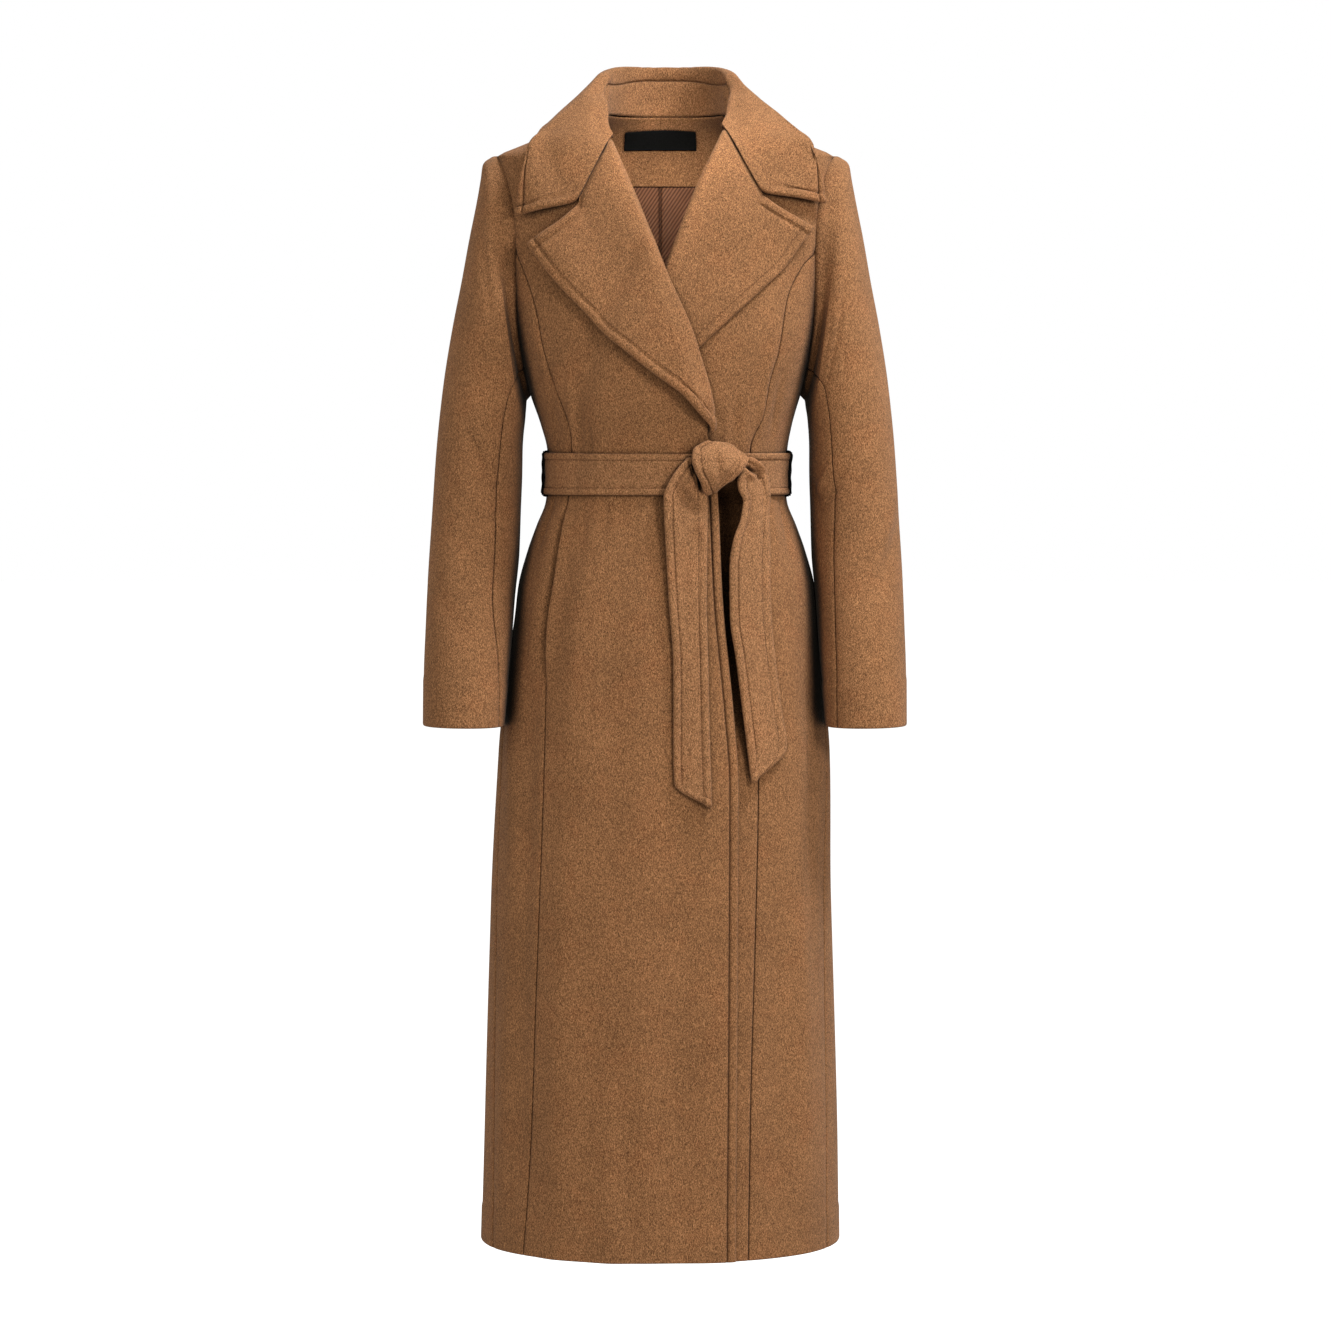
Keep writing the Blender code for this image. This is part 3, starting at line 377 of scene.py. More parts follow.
LEFT_SLEEVE_LEAN = 0.003
HEAD_STEPS = np.array([0.0, 0.0004, 0.001, 0.0019, 0.0032, 0.005, 0.0075, 0.0105, 0.014, 0.019])
SLEEVE_SEAMS = Table(
    "along right_front left_front back",
    (0.00, 140.0, 140.0, -140.0),
    (0.40, 121.0, 118.0, -130.0),
    (0.63, 117.0, 117.0, -122.0),
    (0.80, 121.0, 126.0, -120.0),
    (0.92, 142.0, 131.0, -122.0),
    (1.00, 153.0, 137.0, -124.0),
)
FOLD_RADIUS = 0.15
FOLD_FADE = 0.25
FOLD_END_SHARE = 0.4
FOLDS = (
    # turn, z_top, z_end, spread, depth
    (-13.0, -0.86, -1.30, 6.0, 0.0035),
    (3.0, -0.50, -1.30, 8.0, -0.0025),
    (-52.0, -0.42, -0.90, 6.0, -0.003),
    (52.0, -0.45, -1.00, 6.0, 0.0025),
    (140.0, -0.40, -1.30, 10.0, 0.005),
    (-150.0, -0.40, -1.30, 11.0, 0.005),
    (178.0, -0.55, -1.30, 9.0, -0.0045),
)
DIP_DEPTH = 0.03
DIP_BESIDE = 0.011
DIP_SPREAD = 0.02
DIP_TOP_Z = -0.352
DIP_END_Z = -0.68
DIP_FADE_IN = 0.02
DIP_FADE_OUT = 0.18
RIGHT_TAIL = Table(
    "z left right left_out right_out",
    (-0.331, 0.022, 0.032, 0.0166, 0.0164),
    (-0.345, 0.011, 0.035, 0.0185, 0.0165),
    (-0.361, 0.003, 0.0395, 0.02, 0.0165),
    (-0.377, -0.002, 0.043, 0.0195, 0.0155),
    (-0.4, -0.0015, 0.044, 0.017, 0.014),
    (-0.43, 0.0, 0.044, 0.014, 0.0125),
    (-0.486, 0.003, 0.044, 0.0105, 0.01),
    (-0.565, 0.008, 0.046, 0.009, 0.0088),
    (-0.646, 0.008, 0.048, 0.0085, 0.0085),
    (-0.687, 0.009, 0.0495, 0.0085, 0.0085),
    (-0.713, 0.0455, 0.05, 0.0085, 0.0085),
)
LEFT_TAIL = Table(
    "z left right left_out right_out",
    (-0.33, 0.074, 0.088, 0.014, 0.0128),
    (-0.337, 0.0745, 0.0965, 0.016, 0.0132),
    (-0.346, 0.075, 0.102, 0.0178, 0.013),
    (-0.357, 0.0718, 0.1052, 0.0182, 0.0126),
    (-0.368, 0.0727, 0.1065, 0.0182, 0.0122),
    (-0.3829, 0.0785, 0.107, 0.0172, 0.0122),
    (-0.3987, 0.0775, 0.1072, 0.0156, 0.0122),
    (-0.425, 0.0699, 0.109, 0.0138, 0.012),
    (-0.45, 0.067, 0.1095, 0.012, 0.0115),
    (-0.508, 0.068, 0.112, 0.01, 0.0098),
    (-0.55, 0.074, 0.116, 0.0095, 0.0092),
    (-0.605, 0.081, 0.123, 0.009, 0.0088),
    (-0.649, 0.0865, 0.129, 0.0087, 0.0087),
    (-0.687, 0.0905, 0.0945, 0.0087, 0.0087),
)
KNOT_WRAP = Table(
    "along left left_z right right_z out",
    (0.00, 0.04, -0.3135, 0.064, -0.3145, 0.0156),
    (0.14, 0.027, -0.3225, 0.0745, -0.322, 0.022),
    (0.36, 0.0255, -0.334, 0.0795, -0.333, 0.028),
    (0.58, 0.029, -0.348, 0.073, -0.345, 0.03),
    (0.78, 0.034, -0.362, 0.064, -0.358, 0.027),
    (0.92, 0.038, -0.373, 0.0555, -0.368, 0.0205),
    (1.00, 0.04, -0.3755, 0.052, -0.372, 0.0156),
)
KNOT_CROWN = 0.005
KNOT_DOME = 0.003
KNOT_CORE = (0.056, -0.343, 0.0168)
KNOT_CORE_SIZE = (0.0214, 0.006, 0.0174)
KNOT_LEAN = math.radians(12.0)
LOOP_TURN = 81.0
LOOP_STRANDS = 4
LOOP_SPREAD = 1.35
LOOP_TWIST = 0.0003
LOOP_TURNS = 11
LOOP_PATH = (
    # z from the belt's middle, out from the coat
    (0.0246, -0.003),
    (0.0247, 0.002),
    (0.024, 0.0044),
    (0.0215, 0.006),
    (0.0, 0.0064),
    (-0.0215, 0.006),
    (-0.024, 0.0044),
    (-0.0247, 0.002),
    (-0.0246, -0.003),
)
FACING_REACH = Table(
    "z turn",
    (FACING_END_Z, 44.0),
    (-0.012, 58.0),
    (0.006, 66.0),
    (0.022, 71.0),
    (0.037, 74.0),
    (FACING_TOP_Z, 77.0),
)
# Pocket mouth in the right princess seam.
POCKET_TOP_Z = -0.38
POCKET_END_Z = -0.59
LINING_REACH = Table("z turn", (LINING_END_Z, 62.0), (FACING_END_Z - LINING_GAP, 52.0))
SHOULDER_TOP_Z = 0.0455
NECK_RADIUS = 0.11
BACK_NECK_Z = 0.0505

# ---------------------------------------------------------------- sewing and creases
CLOTH_SPACING = 0.0042
ROW_SPACING = 0.005
BORDER_LIMIT = 0.42
STITCH_IN = 0.01
SEAM_STEPS = np.array([0.0, 0.0003, 0.0006, 0.001, 0.0015, 0.0023, 0.0036, 0.0056])
WELT_STEPS = np.array(
    [0, 0.25, 0.7, 1.3, 2.1, 3.2, 4.8, 6.6, 8.2, 9.2, 9.7, 10, 10.3, 10.9, 12, 14]
) / 1000
PLAIN_STEPS = np.array([0.0, 0.0002, 0.0006, 0.0012, 0.002, 0.0032, 0.0056])
SEAM_DIP = 0.0008
SEAM_SPREAD = 0.003
SEAM_LINE = 0.0017
SEAM_LINE_SPREAD = 0.0007
WELT_PUFF = 0.0015
WELT_GROOVE = 0.0016
WELT_GROOVE_SPREAD = 0.0008
WELT_BULK = 0.0016
WELT_SHOULDER = (0.25, 0.0045, 0.003)
PUFF_POWER = 0.7
WELT_EDGE_RADIUS = 0.0026
PLAIN_EDGE_RADIUS = 0.002
STITCH_LINE = int(np.argmin(np.abs(WELT_STEPS - STITCH_IN)))
HEM_FOLD = (0.04, 0.0008)
CUFF_FOLD = (0.042, 0.0007)
FOLD_EDGE = 0.004
ARC_RADIUS = 0.165
EDGE_SHARE = 0.08
SEAM_LAP = 0.00015
SLEEVE_TUCK = -0.003
ARMHOLE_SHARE = 0.35
SHOULDER_SEAM_SHARE = 0.6
GORGE_SHARE = 0.16
GORGE_LAP = 0.0055
CREASE_END = 0.06
CREASE_POWER = 0.8
NO_WRAP = 10.0
BELT_HOLD = (0.002, 0.006)

# Soft troughs (height below zero) and ridges of the body, each a line from one end to the other
# that fades out at both.
FRONT_CREASES = (
    # x0, z0, x1, z1, spread, height
    # bodice, above the belt
    (-0.106, -0.232, -0.103, -0.33, 0.005, 0.0022),
    (-0.095, -0.25, -0.094, -0.33, 0.006, -0.0018),
    (-0.084, -0.292, -0.081, -0.336, 0.0045, -0.002),
    (-0.066, -0.285, -0.068, -0.336, 0.0055, 0.0018),
    (-0.052, -0.3, -0.05, -0.336, 0.004, -0.0018),
    (-0.033, -0.292, -0.036, -0.336, 0.005, -0.0015),
    (-0.01, -0.302, -0.012, -0.336, 0.0045, -0.0016),
    (-0.128, -0.215, -0.118, -0.322, 0.008, -0.0022),
    (-0.15, -0.17, -0.128, -0.25, 0.012, 0.0018),
    (0.116, -0.205, 0.104, -0.322, 0.006, 0.002),
    (0.128, -0.24, 0.116, -0.326, 0.007, -0.0022),
    (0.078, -0.262, 0.074, -0.334, 0.006, -0.0018),
    (0.09, -0.275, 0.086, -0.334, 0.005, 0.0014),
    (0.06, -0.29, 0.06, -0.334, 0.005, -0.0016),
    (0.146, -0.11, 0.128, -0.175, 0.012, -0.0016),
    # skirt, below the belt
    (-0.124, -0.372, -0.139, -0.432, 0.006, -0.0045),
    (-0.114, -0.372, -0.118, -0.44, 0.007, 0.001),
    (-0.086, -0.368, -0.092, -0.45, 0.007, -0.0018),
    (-0.066, -0.366, -0.066, -0.428, 0.005, -0.0022),
    (-0.044, -0.366, -0.048, -0.412, 0.0055, -0.0018),
    (-0.025, -0.366, -0.026, -0.44, 0.006, 0.0014),
    (-0.092, -0.48, -0.08, -0.8, 0.026, 0.0008),
    (-0.058, -0.46, -0.056, -0.82, 0.022, -0.002),
    (-0.02, -0.52, -0.014, -0.9, 0.024, 0.0018),
    (-0.11, -0.78, -0.118, -1.19, 0.024, 0.002),
    (-0.078, -0.86, -0.082, -1.205, 0.02, -0.0018),
    (-0.046, -0.98, -0.041, -1.215, 0.012, -0.0042),
    (-0.022, -0.9, -0.016, -1.215, 0.018, 0.0022),
    (0.022, -0.76, 0.026, -1.2, 0.022, -0.0016),
    (0.05, -0.9, 0.05, -1.215, 0.02, 0.0014),
    (-0.16, -0.48, -0.166, -0.82, 0.016, 0.003),
    (-0.15, -0.7, -0.162, -1.18, 0.014, -0.0022),
    (-0.176, -0.9, -0.184, -1.2, 0.016, 0.0024),
    (0.128, -0.372, 0.136, -0.44, 0.007, -0.0028),
    (0.118, -0.372, 0.122, -0.45, 0.007, 0.002),
    (0.1, -0.372, 0.104, -0.42, 0.005, -0.002),
    (0.118, -0.47, 0.13, -0.86, 0.02, 0.0022),
    (0.15, -0.5, 0.158, -0.9, 0.02, -0.002),
    (0.12, -0.8, 0.122, -1.2, 0.016, -0.0016),
    (0.15, -0.86, 0.156, -1.205, 0.018, 0.0022),
    (0.176, -0.7, 0.184, -1.19, 0.016, -0.0022),
)
BACK_CREASES = (
    # x0, z0, x1, z1, spread, height
    (-0.112, -0.24, -0.1, -0.332, 0.008, -0.0028),
    (-0.09, -0.262, -0.084, -0.334, 0.006, 0.0022),
    (-0.07, -0.25, -0.067, -0.334, 0.006, -0.0026),
    (-0.048, -0.286, -0.048, -0.336, 0.005, 0.0018),
    (-0.03, -0.268, -0.032, -0.336, 0.006, -0.0024),
    (0.014, -0.28, 0.013, -0.336, 0.005, -0.002),
    (0.032, -0.254, 0.03, -0.334, 0.007, 0.002),
    (0.052, -0.27, 0.05, -0.336, 0.0055, -0.0026),
    (0.08, -0.244, 0.074, -0.334, 0.007, -0.0024),
    (0.108, -0.23, 0.098, -0.332, 0.008, 0.0024),
    (0.122, -0.262, 0.114, -0.332, 0.006, -0.0022),
    (-0.15, -0.11, -0.128, -0.21, 0.014, -0.003),
    (0.15, -0.12, 0.13, -0.225, 0.014, -0.003),
    (-0.104, -0.368, -0.12, -0.46, 0.008, -0.0032),
    (-0.084, -0.368, -0.094, -0.52, 0.01, 0.0026),
    (-0.06, -0.366, -0.064, -0.44, 0.006, -0.0028),
    (-0.04, -0.366, -0.044, -0.56, 0.011, 0.0022),
    (-0.018, -0.366, -0.019, -0.45, 0.006, -0.0026),
    (0.024, -0.366, 0.026, -0.47, 0.007, -0.0026),
    (0.046, -0.366, 0.052, -0.54, 0.01, 0.0024),
    (0.07, -0.366, 0.076, -0.446, 0.006, -0.003),
    (0.098, -0.368, 0.114, -0.5, 0.009, -0.0026),
    (-0.116, -0.56, -0.13, -1.2, 0.018, -0.004),
    (-0.026, -0.64, -0.034, -1.215, 0.02, 0.0034),
    (0.06, -0.6, 0.072, -1.215, 0.02, -0.0038),
    (0.126, -0.56, 0.146, -1.205, 0.018, 0.0034),
)

# The same for the sleeves: degrees round from the outer line, and the share from armhole to cuff.
SLEEVE_CREASES = {
    # angle0, along0, angle1, along1, spread, height
    "left": (
        (22.0, 0.735, 84.0, 0.815, 0.011, -0.0032),
        (20.0, 0.69, 78.0, 0.765, 0.013, 0.0024),
        (96.0, 0.6, 134.0, 0.64, 0.007, -0.0034),
        (118.0, 0.56, 150.0, 0.605, 0.007, 0.003),
        (140.0, 0.65, 160.0, 0.56, 0.006, -0.0026),
        (60.0, 0.2, 118.0, 0.33, 0.014, -0.0022),
        (96.0, 0.12, 128.0, 0.24, 0.009, 0.0022),
        (-30.0, 0.16, -96.0, 0.3, 0.016, -0.0026),
        (-60.0, 0.56, -118.0, 0.66, 0.013, -0.003),
        (-40.0, 0.64, -104.0, 0.72, 0.014, 0.0026),
    ),
    "right": (
        (70.0, 0.56, 124.0, 0.62, 0.008, -0.003),
        (60.0, 0.64, 128.0, 0.69, 0.01, 0.002),
        (104.0, 0.69, 140.0, 0.64, 0.007, -0.0026),
        (40.0, 0.18, 112.0, 0.32, 0.015, -0.0018),
        (90.0, 0.11, 126.0, 0.23, 0.009, 0.0022),
        (34.0, 0.8, 100.0, 0.88, 0.014, -0.0014),
        (-34.0, 0.15, -100.0, 0.31, 0.016, -0.0026),
        (-56.0, 0.57, -116.0, 0.65, 0.013, -0.003),
        (-44.0, 0.65, -110.0, 0.73, 0.013, 0.0026),
    ),
}
# The small pieces' creases, by x and z of both ends; the belt's by length round it and z.
LAPEL_CREASES = (
    (-0.066, 0.004, -0.022, -0.11, 0.012, -0.0036),
    (-0.05, -0.01, -0.006, -0.13, 0.009, 0.0014),
    (-0.1, -0.1, -0.06, -0.16, 0.014, -0.0014),
)
COLLAR_CREASES = (
    (-0.08, 0.048, -0.072, 0.016, 0.007, -0.002),
    (-0.104, 0.03, -0.112, -0.02, 0.012, 0.0014),
    (0.084, 0.046, 0.078, 0.014, 0.007, -0.0018),
    (0.11, 0.028, 0.118, -0.016, 0.012, 0.0012),
)
LINING_PULLS = (
    (-0.05, -0.04, -0.075, -0.15, 0.012, 0.003),
    (0.04, -0.036, 0.072, -0.16, 0.013, 0.0034),
    (-0.024, -0.06, -0.032, -0.24, 0.01, 0.0024),
    (0.02, -0.05, 0.03, -0.26, 0.01, 0.0024),
)
BELT_CREASES = (
    (-0.2, BELT_Z + 0.01, -0.17, BELT_Z - 0.006, 0.006, -0.001),
    (0.18, BELT_Z + 0.012, 0.196, BELT_Z - 0.01, 0.006, -0.001),
)
WRAP_CREASES = (
    (0.047, -0.322, 0.053, -0.366, 0.003, -0.0018),
    (0.072, -0.318, 0.076, -0.338, 0.0032, -0.0026),
    (0.078, -0.322, 0.064, -0.356, 0.004, 0.002),
    (0.064, -0.336, 0.054, -0.364, 0.0034, -0.0016),
    (0.056, -0.318, 0.06, -0.35, 0.006, 0.0016),
)
RIGHT_TAIL_CREASES = (
    (0.0345, -0.35, 0.0365, -0.371, 0.002, -0.008),
    (0.0405, -0.348, 0.0405, -0.378, 0.0024, 0.0042),
    (0.028, -0.334, 0.03, -0.352, 0.0022, -0.004),
    (0.012, -0.366, 0.034, -0.396, 0.0062, -0.007),
    (0.024, -0.346, 0.016, -0.364, 0.0036, 0.0034),
    (0.03, -0.352, 0.024, -0.372, 0.003, 0.0026),
    (0.034, -0.392, 0.038, -0.43, 0.004, 0.0022),
    (0.01, -0.392, 0.012, -0.44, 0.005, 0.0014),
    (0.02, -0.43, 0.024, -0.54, 0.008, -0.0012),
)
LEFT_TAIL_CREASES = (
    (0.079, -0.34, 0.093, -0.35, 0.0018, -0.007),
    (0.093, -0.35, 0.095, -0.358, 0.0018, -0.004),
    (0.088, -0.334, 0.101, -0.347, 0.0028, 0.0034),
    (0.08, -0.347, 0.088, -0.356, 0.0026, 0.003),
    (0.1, -0.348, 0.105, -0.39, 0.004, 0.002),
    (0.086, -0.364, 0.083, -0.43, 0.006, -0.0026),
    (0.096, -0.37, 0.095, -0.45, 0.005, 0.0014),
)


# ---------------------------------------------------------------- the coat's surface
def smoothstep(value):
    """Soft step from 0 to 1."""
    value = np.clip(value, 0.0, 1.0)
    return value * value * (3 - 2 * value)


def bell(away, spread):
    """Soft bump: 1 where the distance is none, less on both sides."""
    return np.exp(-((away / spread) ** 2))


def unit(vectors):
    """The same directions at length 1."""
    return vectors / np.maximum(np.linalg.norm(vectors, axis=-1, keepdims=True), 1e-12)


def fold_height(turn, z):
    """How far the largest folds stand out (or in) at each point."""
    degrees = np.degrees(turn)
    height = np.zeros(np.broadcast(turn, z).shape)
    for middle, z_top, z_end, spread, depth in FOLDS:
        away = (degrees - middle + 180.0) % 360.0 - 180.0
        start = smoothstep((z_top - z) / FOLD_FADE)
        down = start * smoothstep((z - z_end) / FOLD_FADE + FOLD_END_SHARE)
        height = height + depth * bell(away, spread) * down
    return height


def section_point(turn, z):
    """Point of the outer surface: turn 0 is the centre front, +90 degrees the left side."""
    turn, z = np.broadcast_arrays(np.asarray(turn, float), np.asarray(z, float))
    power = 2.0 / BODY(z, "squareness")
    side, ahead = np.sin(turn), np.cos(turn)
    swell = 1.0 + fold_height(turn, z) / FOLD_RADIUS
    depth = np.where(ahead > 0, BODY(z, "front"), BODY(z, "back"))
    x = BODY(z, "shift") + BODY(z, "half_width") * np.sign(side) * np.abs(side) ** power * swell
    y = -depth * np.sign(ahead) * np.abs(ahead) ** power * swell
    return np.stack([x, y, z], axis=-1)


def skin_normal(turn, z):
    """Outward direction of the surface."""
    step_turn, step_z = 0.012, 0.0015
    round_way = section_point(turn + step_turn, z) - section_point(turn - step_turn, z)
    up_way = section_point(turn, z + step_z) - section_point(turn, z - step_z)
    return unit(np.cross(round_way, up_way))


def skin(turn, z, out=0.0):
    """The same point, moved out along the surface's normal."""
    turn, z = np.broadcast_arrays(np.asarray(turn, float), np.asarray(z, float))
    return section_point(turn, z) + skin_normal(turn, z) * np.asarray(out, float)[..., None]


def turn_at(x, z):
    """Turn of the front point that lies at x, z."""
    x, z = np.broadcast_arrays(np.asarray(x, float), np.asarray(z, float))
    across = (x - BODY(z, "shift")) / BODY(z, "half_width")
    share = np.clip(np.abs(across), 0.0, 1.0) ** (BODY(z, "squareness") / 2.0)
    return np.sign(across) * np.arcsin(share)


def armhole_turn(z):
    """Turn of the armhole's front edge, and of the shoulder seam above it."""
    share = (ARMHOLE(z, "x") / BODY(z, "half_width")) ** (BODY(z, "squareness") / 2.0)
    inside = np.arcsin(np.clip(share, 0.0, 1.0))
    return np.where((z > UNDERARM_Z) & (z < 0.0), inside, math.pi / 2)


def front_lift(x, z):
    """How far the right front is moved out where it lies on the left front and its lapel."""
    under_edge = LEFT_EDGE(z, "x")
    over_under = smoothstep((x - under_edge + LIFT_BESIDE) / LIFT_RAMP)
    over_v = smoothstep((LIFT_TOP_Z - z) / LIFT_FADE)
    lapel_too = smoothstep((z - LAPEL_LIFT_END_Z) / LAPEL_LIFT_FADE)
    return over_under * over_v * (LAYER + LAYER * lapel_too)


def under_dip(x, z):
    """Hollow of the left front beside the edge that lies over it, below the belt."""
    away = (x - RIGHT_EDGE(z, "x") - DIP_BESIDE) / DIP_SPREAD
    start = smoothstep((DIP_TOP_Z - z) / DIP_FADE_IN)
    below_belt = start * smoothstep((z - DIP_END_Z) / DIP_FADE_OUT)
    return -DIP_DEPTH * np.exp(-(away**2)) * below_belt


def crease_field(creases, across, up, round_length=NO_WRAP):
    """Height of a set of creases, each a soft line that fades at its ends."""
    total = np.zeros(across.shape)
    for across0, up0, across1, up1, spread, height in creases:
        near = (across - across0 + round_length / 2) % round_length - round_length / 2
        step_across, step_up = across1 - across0, up1 - up0
        length = step_across**2 + step_up**2
        share = (near * step_across + (up - up0) * step_up) / length
        held = np.clip(share, 0.0, 1.0)
        gap = (near - held * step_across) ** 2 + (up - up0 - held * step_up) ** 2
        fade = np.sin(math.pi * (CREASE_END + (1.0 - 2 * CREASE_END) * held)) ** CREASE_POWER
        total += height * fade * np.exp(-gap / spread**2)
    return total


def placed_body_creases():
    """The body's creases by length round it, which its panels share."""
    placed = []
    for behind, creases in ((False, FRONT_CREASES), (True, BACK_CREASES)):
        for x0, z0, x1, z1, spread, height in creases:
            turns = [float(turn_at(x, z)) for x, z in ((x0, z0), (x1, z1))]
            if behind:
                turns = [math.copysign(math.pi, x) - turn for x, turn in zip((x0, x1), turns)]
            placed.append((turns[0] * ARC_RADIUS, z0, turns[1] * ARC_RADIUS, z1, spread, height))
    return placed


PLACED_CREASES = placed_body_creases()


def body_relief(turn, z):
    """Creases of the body's cloth, flattened where the belt holds it."""
    margin, fade = BELT_HOLD
    under_belt = smoothstep((BELT_WIDTH / 2 + margin - np.abs(z - BELT_Z)) / fade)
    height = crease_field(PLACED_CREASES, turn * ARC_RADIUS, z, 2 * math.pi * ARC_RADIUS)
    return height * (1.0 - under_belt)


# ---------------------------------------------------------------- sheets of cloth
def row_lengths(points):
    """Length along each row of a grid of points, from the row's start."""
    lengths = np.linalg.norm(np.diff(points, axis=1), axis=-1)
    return np.hstack([np.zeros((len(points), 1)), np.cumsum(lengths, axis=1)])


def grid_normals(points, flip=False):
    """Directions square to a grid of points."""
    down = np.gradient(points, axis=0)
    across = np.gradient(points, axis=1)
    normal = unit(np.cross(across, down))
    return -normal if flip else normal


def border_columns(width, left_steps, right_steps, left_slant, right_slant, spacing):
    """Distances across each row: fine steps at both borders and even ones between."""
    left = left_steps[None] * left_slant[:, None]
    right = right_steps[None] * right_slant[:, None]
    left *= np.minimum(1.0, BORDER_LIMIT * width / left[:, -1])[:, None]
    right *= np.minimum(1.0, BORDER_LIMIT * width / right[:, -1])[:, None]
    count = max(3, int(np.median(width - left[:, -1] - right[:, -1]) / spacing))
    even = np.linspace(0.0, 1.0, count + 1)[None, 1:-1]
    middle = left[:, -1:] + (width[:, None] - right[:, -1:] - left[:, -1:]) * even
    return np.hstack([left, middle, width[:, None] - right[:, ::-1]])


def border_slant(line, across_way):
    """How much farther a border is along its row than straight across it."""
    along = unit(np.gradient(line, axis=0))
    crossing = np.linalg.norm(np.cross(along, across_way), axis=-1)
    return 1.0 / np.clip(crossing, 0.4, 1.0)


def row_levels(low, high, spacing, low_steps=PLAIN_STEPS, high_steps=PLAIN_STEPS):
    """Heights of the rows: fine steps at both borders and even ones between."""
    start, end = low + low_steps[-1], high - high_steps[-1]
    even = np.linspace(start, end, max(2, round((end - start) / spacing)) + 1)[1:-1]
    return np.concatenate([low + low_steps, even, (high - high_steps)[::-1]])


def seam_profile(away):
    """Dip and fine line beside a seam."""
    line = SEAM_LINE * bell(away, SEAM_LINE_SPREAD)
    return -line - SEAM_DIP * bell(away, SEAM_SPREAD)


def puffed_edge(away, stitch_in, puff, groove):
    """Cloth that stands up between its edge and a row of stitches, and sinks along the row."""
    rise = np.sin(math.pi * np.clip(away / stitch_in, 0.0, 1.0)) ** PUFF_POWER
    return puff * rise - groove * bell(away - stitch_in, WELT_GROOVE_SPREAD)


def welt_profile(away):
    """Stitched edge of the coat."""
    share, place, spread = WELT_SHOULDER
    shoulder = bell(away - STITCH_IN - place, spread)
    return puffed_edge(away, STITCH_IN, WELT_PUFF, WELT_GROOVE) + share * WELT_PUFF * shoulder


def rounded(away, radius):
    """Share of the full thickness at a distance from a rounded edge."""
    short = 1.0 - np.clip(away / radius, 0.0, 1.0)
    return np.sqrt(np.maximum(EDGE_SHARE**2, 1.0 - short**2))


def edge_field(edges, shape):
    """Relief, thickness share and added bulk from a list of (distance, kind, share of welt)."""
    relief, thick, bulk = np.zeros(shape), np.ones(shape), np.zeros(shape)
    for away, kind, amount in edges:
        if kind == "seam":
            relief = relief + amount * seam_profile(away)
        elif kind == "welt":
            sewn = GORGE_SHARE * (1 - amount) * seam_profile(away)
            relief = relief + amount * welt_profile(away) + sewn
            thick = thick * (1 - amount + amount * rounded(away, WELT_EDGE_RADIUS))
            bulk = np.maximum(bulk, WELT_BULK * amount * np.exp(-((away / STITCH_IN) ** 4)))
        else:
            thick = thick * rounded(away, PLAIN_EDGE_RADIUS)
    return relief, thick, bulk


def shell_object(name, outer, inner, flip=False):
    """Closed mesh of an outer and an inner grid of points, with walls round their borders."""
    rows, columns = outer.shape[:2]
    number = np.arange(rows * columns).reshape(rows, columns)
    under = number + rows * columns

    def quads(index, turned):
        corners = (index[:-1, :-1], index[:-1, 1:], index[1:, 1:], index[1:, :-1])
        faces = np.stack([corner.ravel() for corner in corners], axis=-1)
        return faces[:, ::-1] if turned else faces

    def border(index):
        return np.concatenate([index[0, :-1], index[:-1, -1], index[-1, :0:-1], index[:0:-1, 0]])

    top, low = border(number), border(under)
    wall = np.stack([np.roll(top, -1), top, low, np.roll(low, -1)], axis=-1)
    wall = wall[:, ::-1] if flip else wall
    points = np.vstack([outer.reshape(-1, 3), inner.reshape(-1, 3)])
    return mesh_object(name, points, np.vstack([quads(number, flip), quads(under, not flip), wall]))


def mesh_object(name, points, faces):
    """Smooth mesh in the scene, from points and faces of one kind."""
    mesh = bpy.data.meshes.new(name)
    size = faces.shape[1]
    mesh.vertices.add(len(points))
    mesh.vertices.foreach_set("co", np.ascontiguousarray(points, np.float32).ravel())
    mesh.loops.add(faces.size)
    mesh.loops.foreach_set("vertex_index", np.ascontiguousarray(faces, np.int32).ravel())
    mesh.polygons.add(len(faces))
    mesh.polygons.foreach_set("loop_start", np.arange(0, faces.size, size, dtype=np.int32))
    mesh.polygons.foreach_set("use_smooth", np.ones(len(faces), bool))
    mesh.update(calc_edges=True)
    mesh.validate()
    piece = bpy.data.objects.new(name, mesh)
    bpy.context.scene.collection.objects.link(piece)
    return piece


def thick_sheet(name, face, high, low, thick, flip=False):
    """Sheet between two heights over a face. Returns the piece, its outer points and normals."""
    normal = grid_normals(face, flip)
    middle, half = (high + low) / 2, (high - low) / 2 * thick
    outer = face + normal * (middle + half)[..., None]
    inner = face + normal * (middle - half)[..., None]
    return shell_object(name, outer, inner, flip), outer, normal


def cloth_sheet(name, face, edges, relief, flip=False):
    """Sheet of the coat's cloth, with its seams, welts and rounded edges."""
    edge_relief, thick, bulk = edge_field(edges, face.shape[:2])
    return thick_sheet(name, face, relief + edge_relief, relief - WALL - bulk, thick, flip)


# ---------------------------------------------------------------- stitches
STITCH_RUNS = []


def keep_stitches(points, normals, keep=None):
    """Remembers a row of stitches along a line of points on the cloth."""
    if keep is not None:
        points, normals = points[keep], normals[keep]
    if len(points) > 2:
        STITCH_RUNS.append((points, normals))


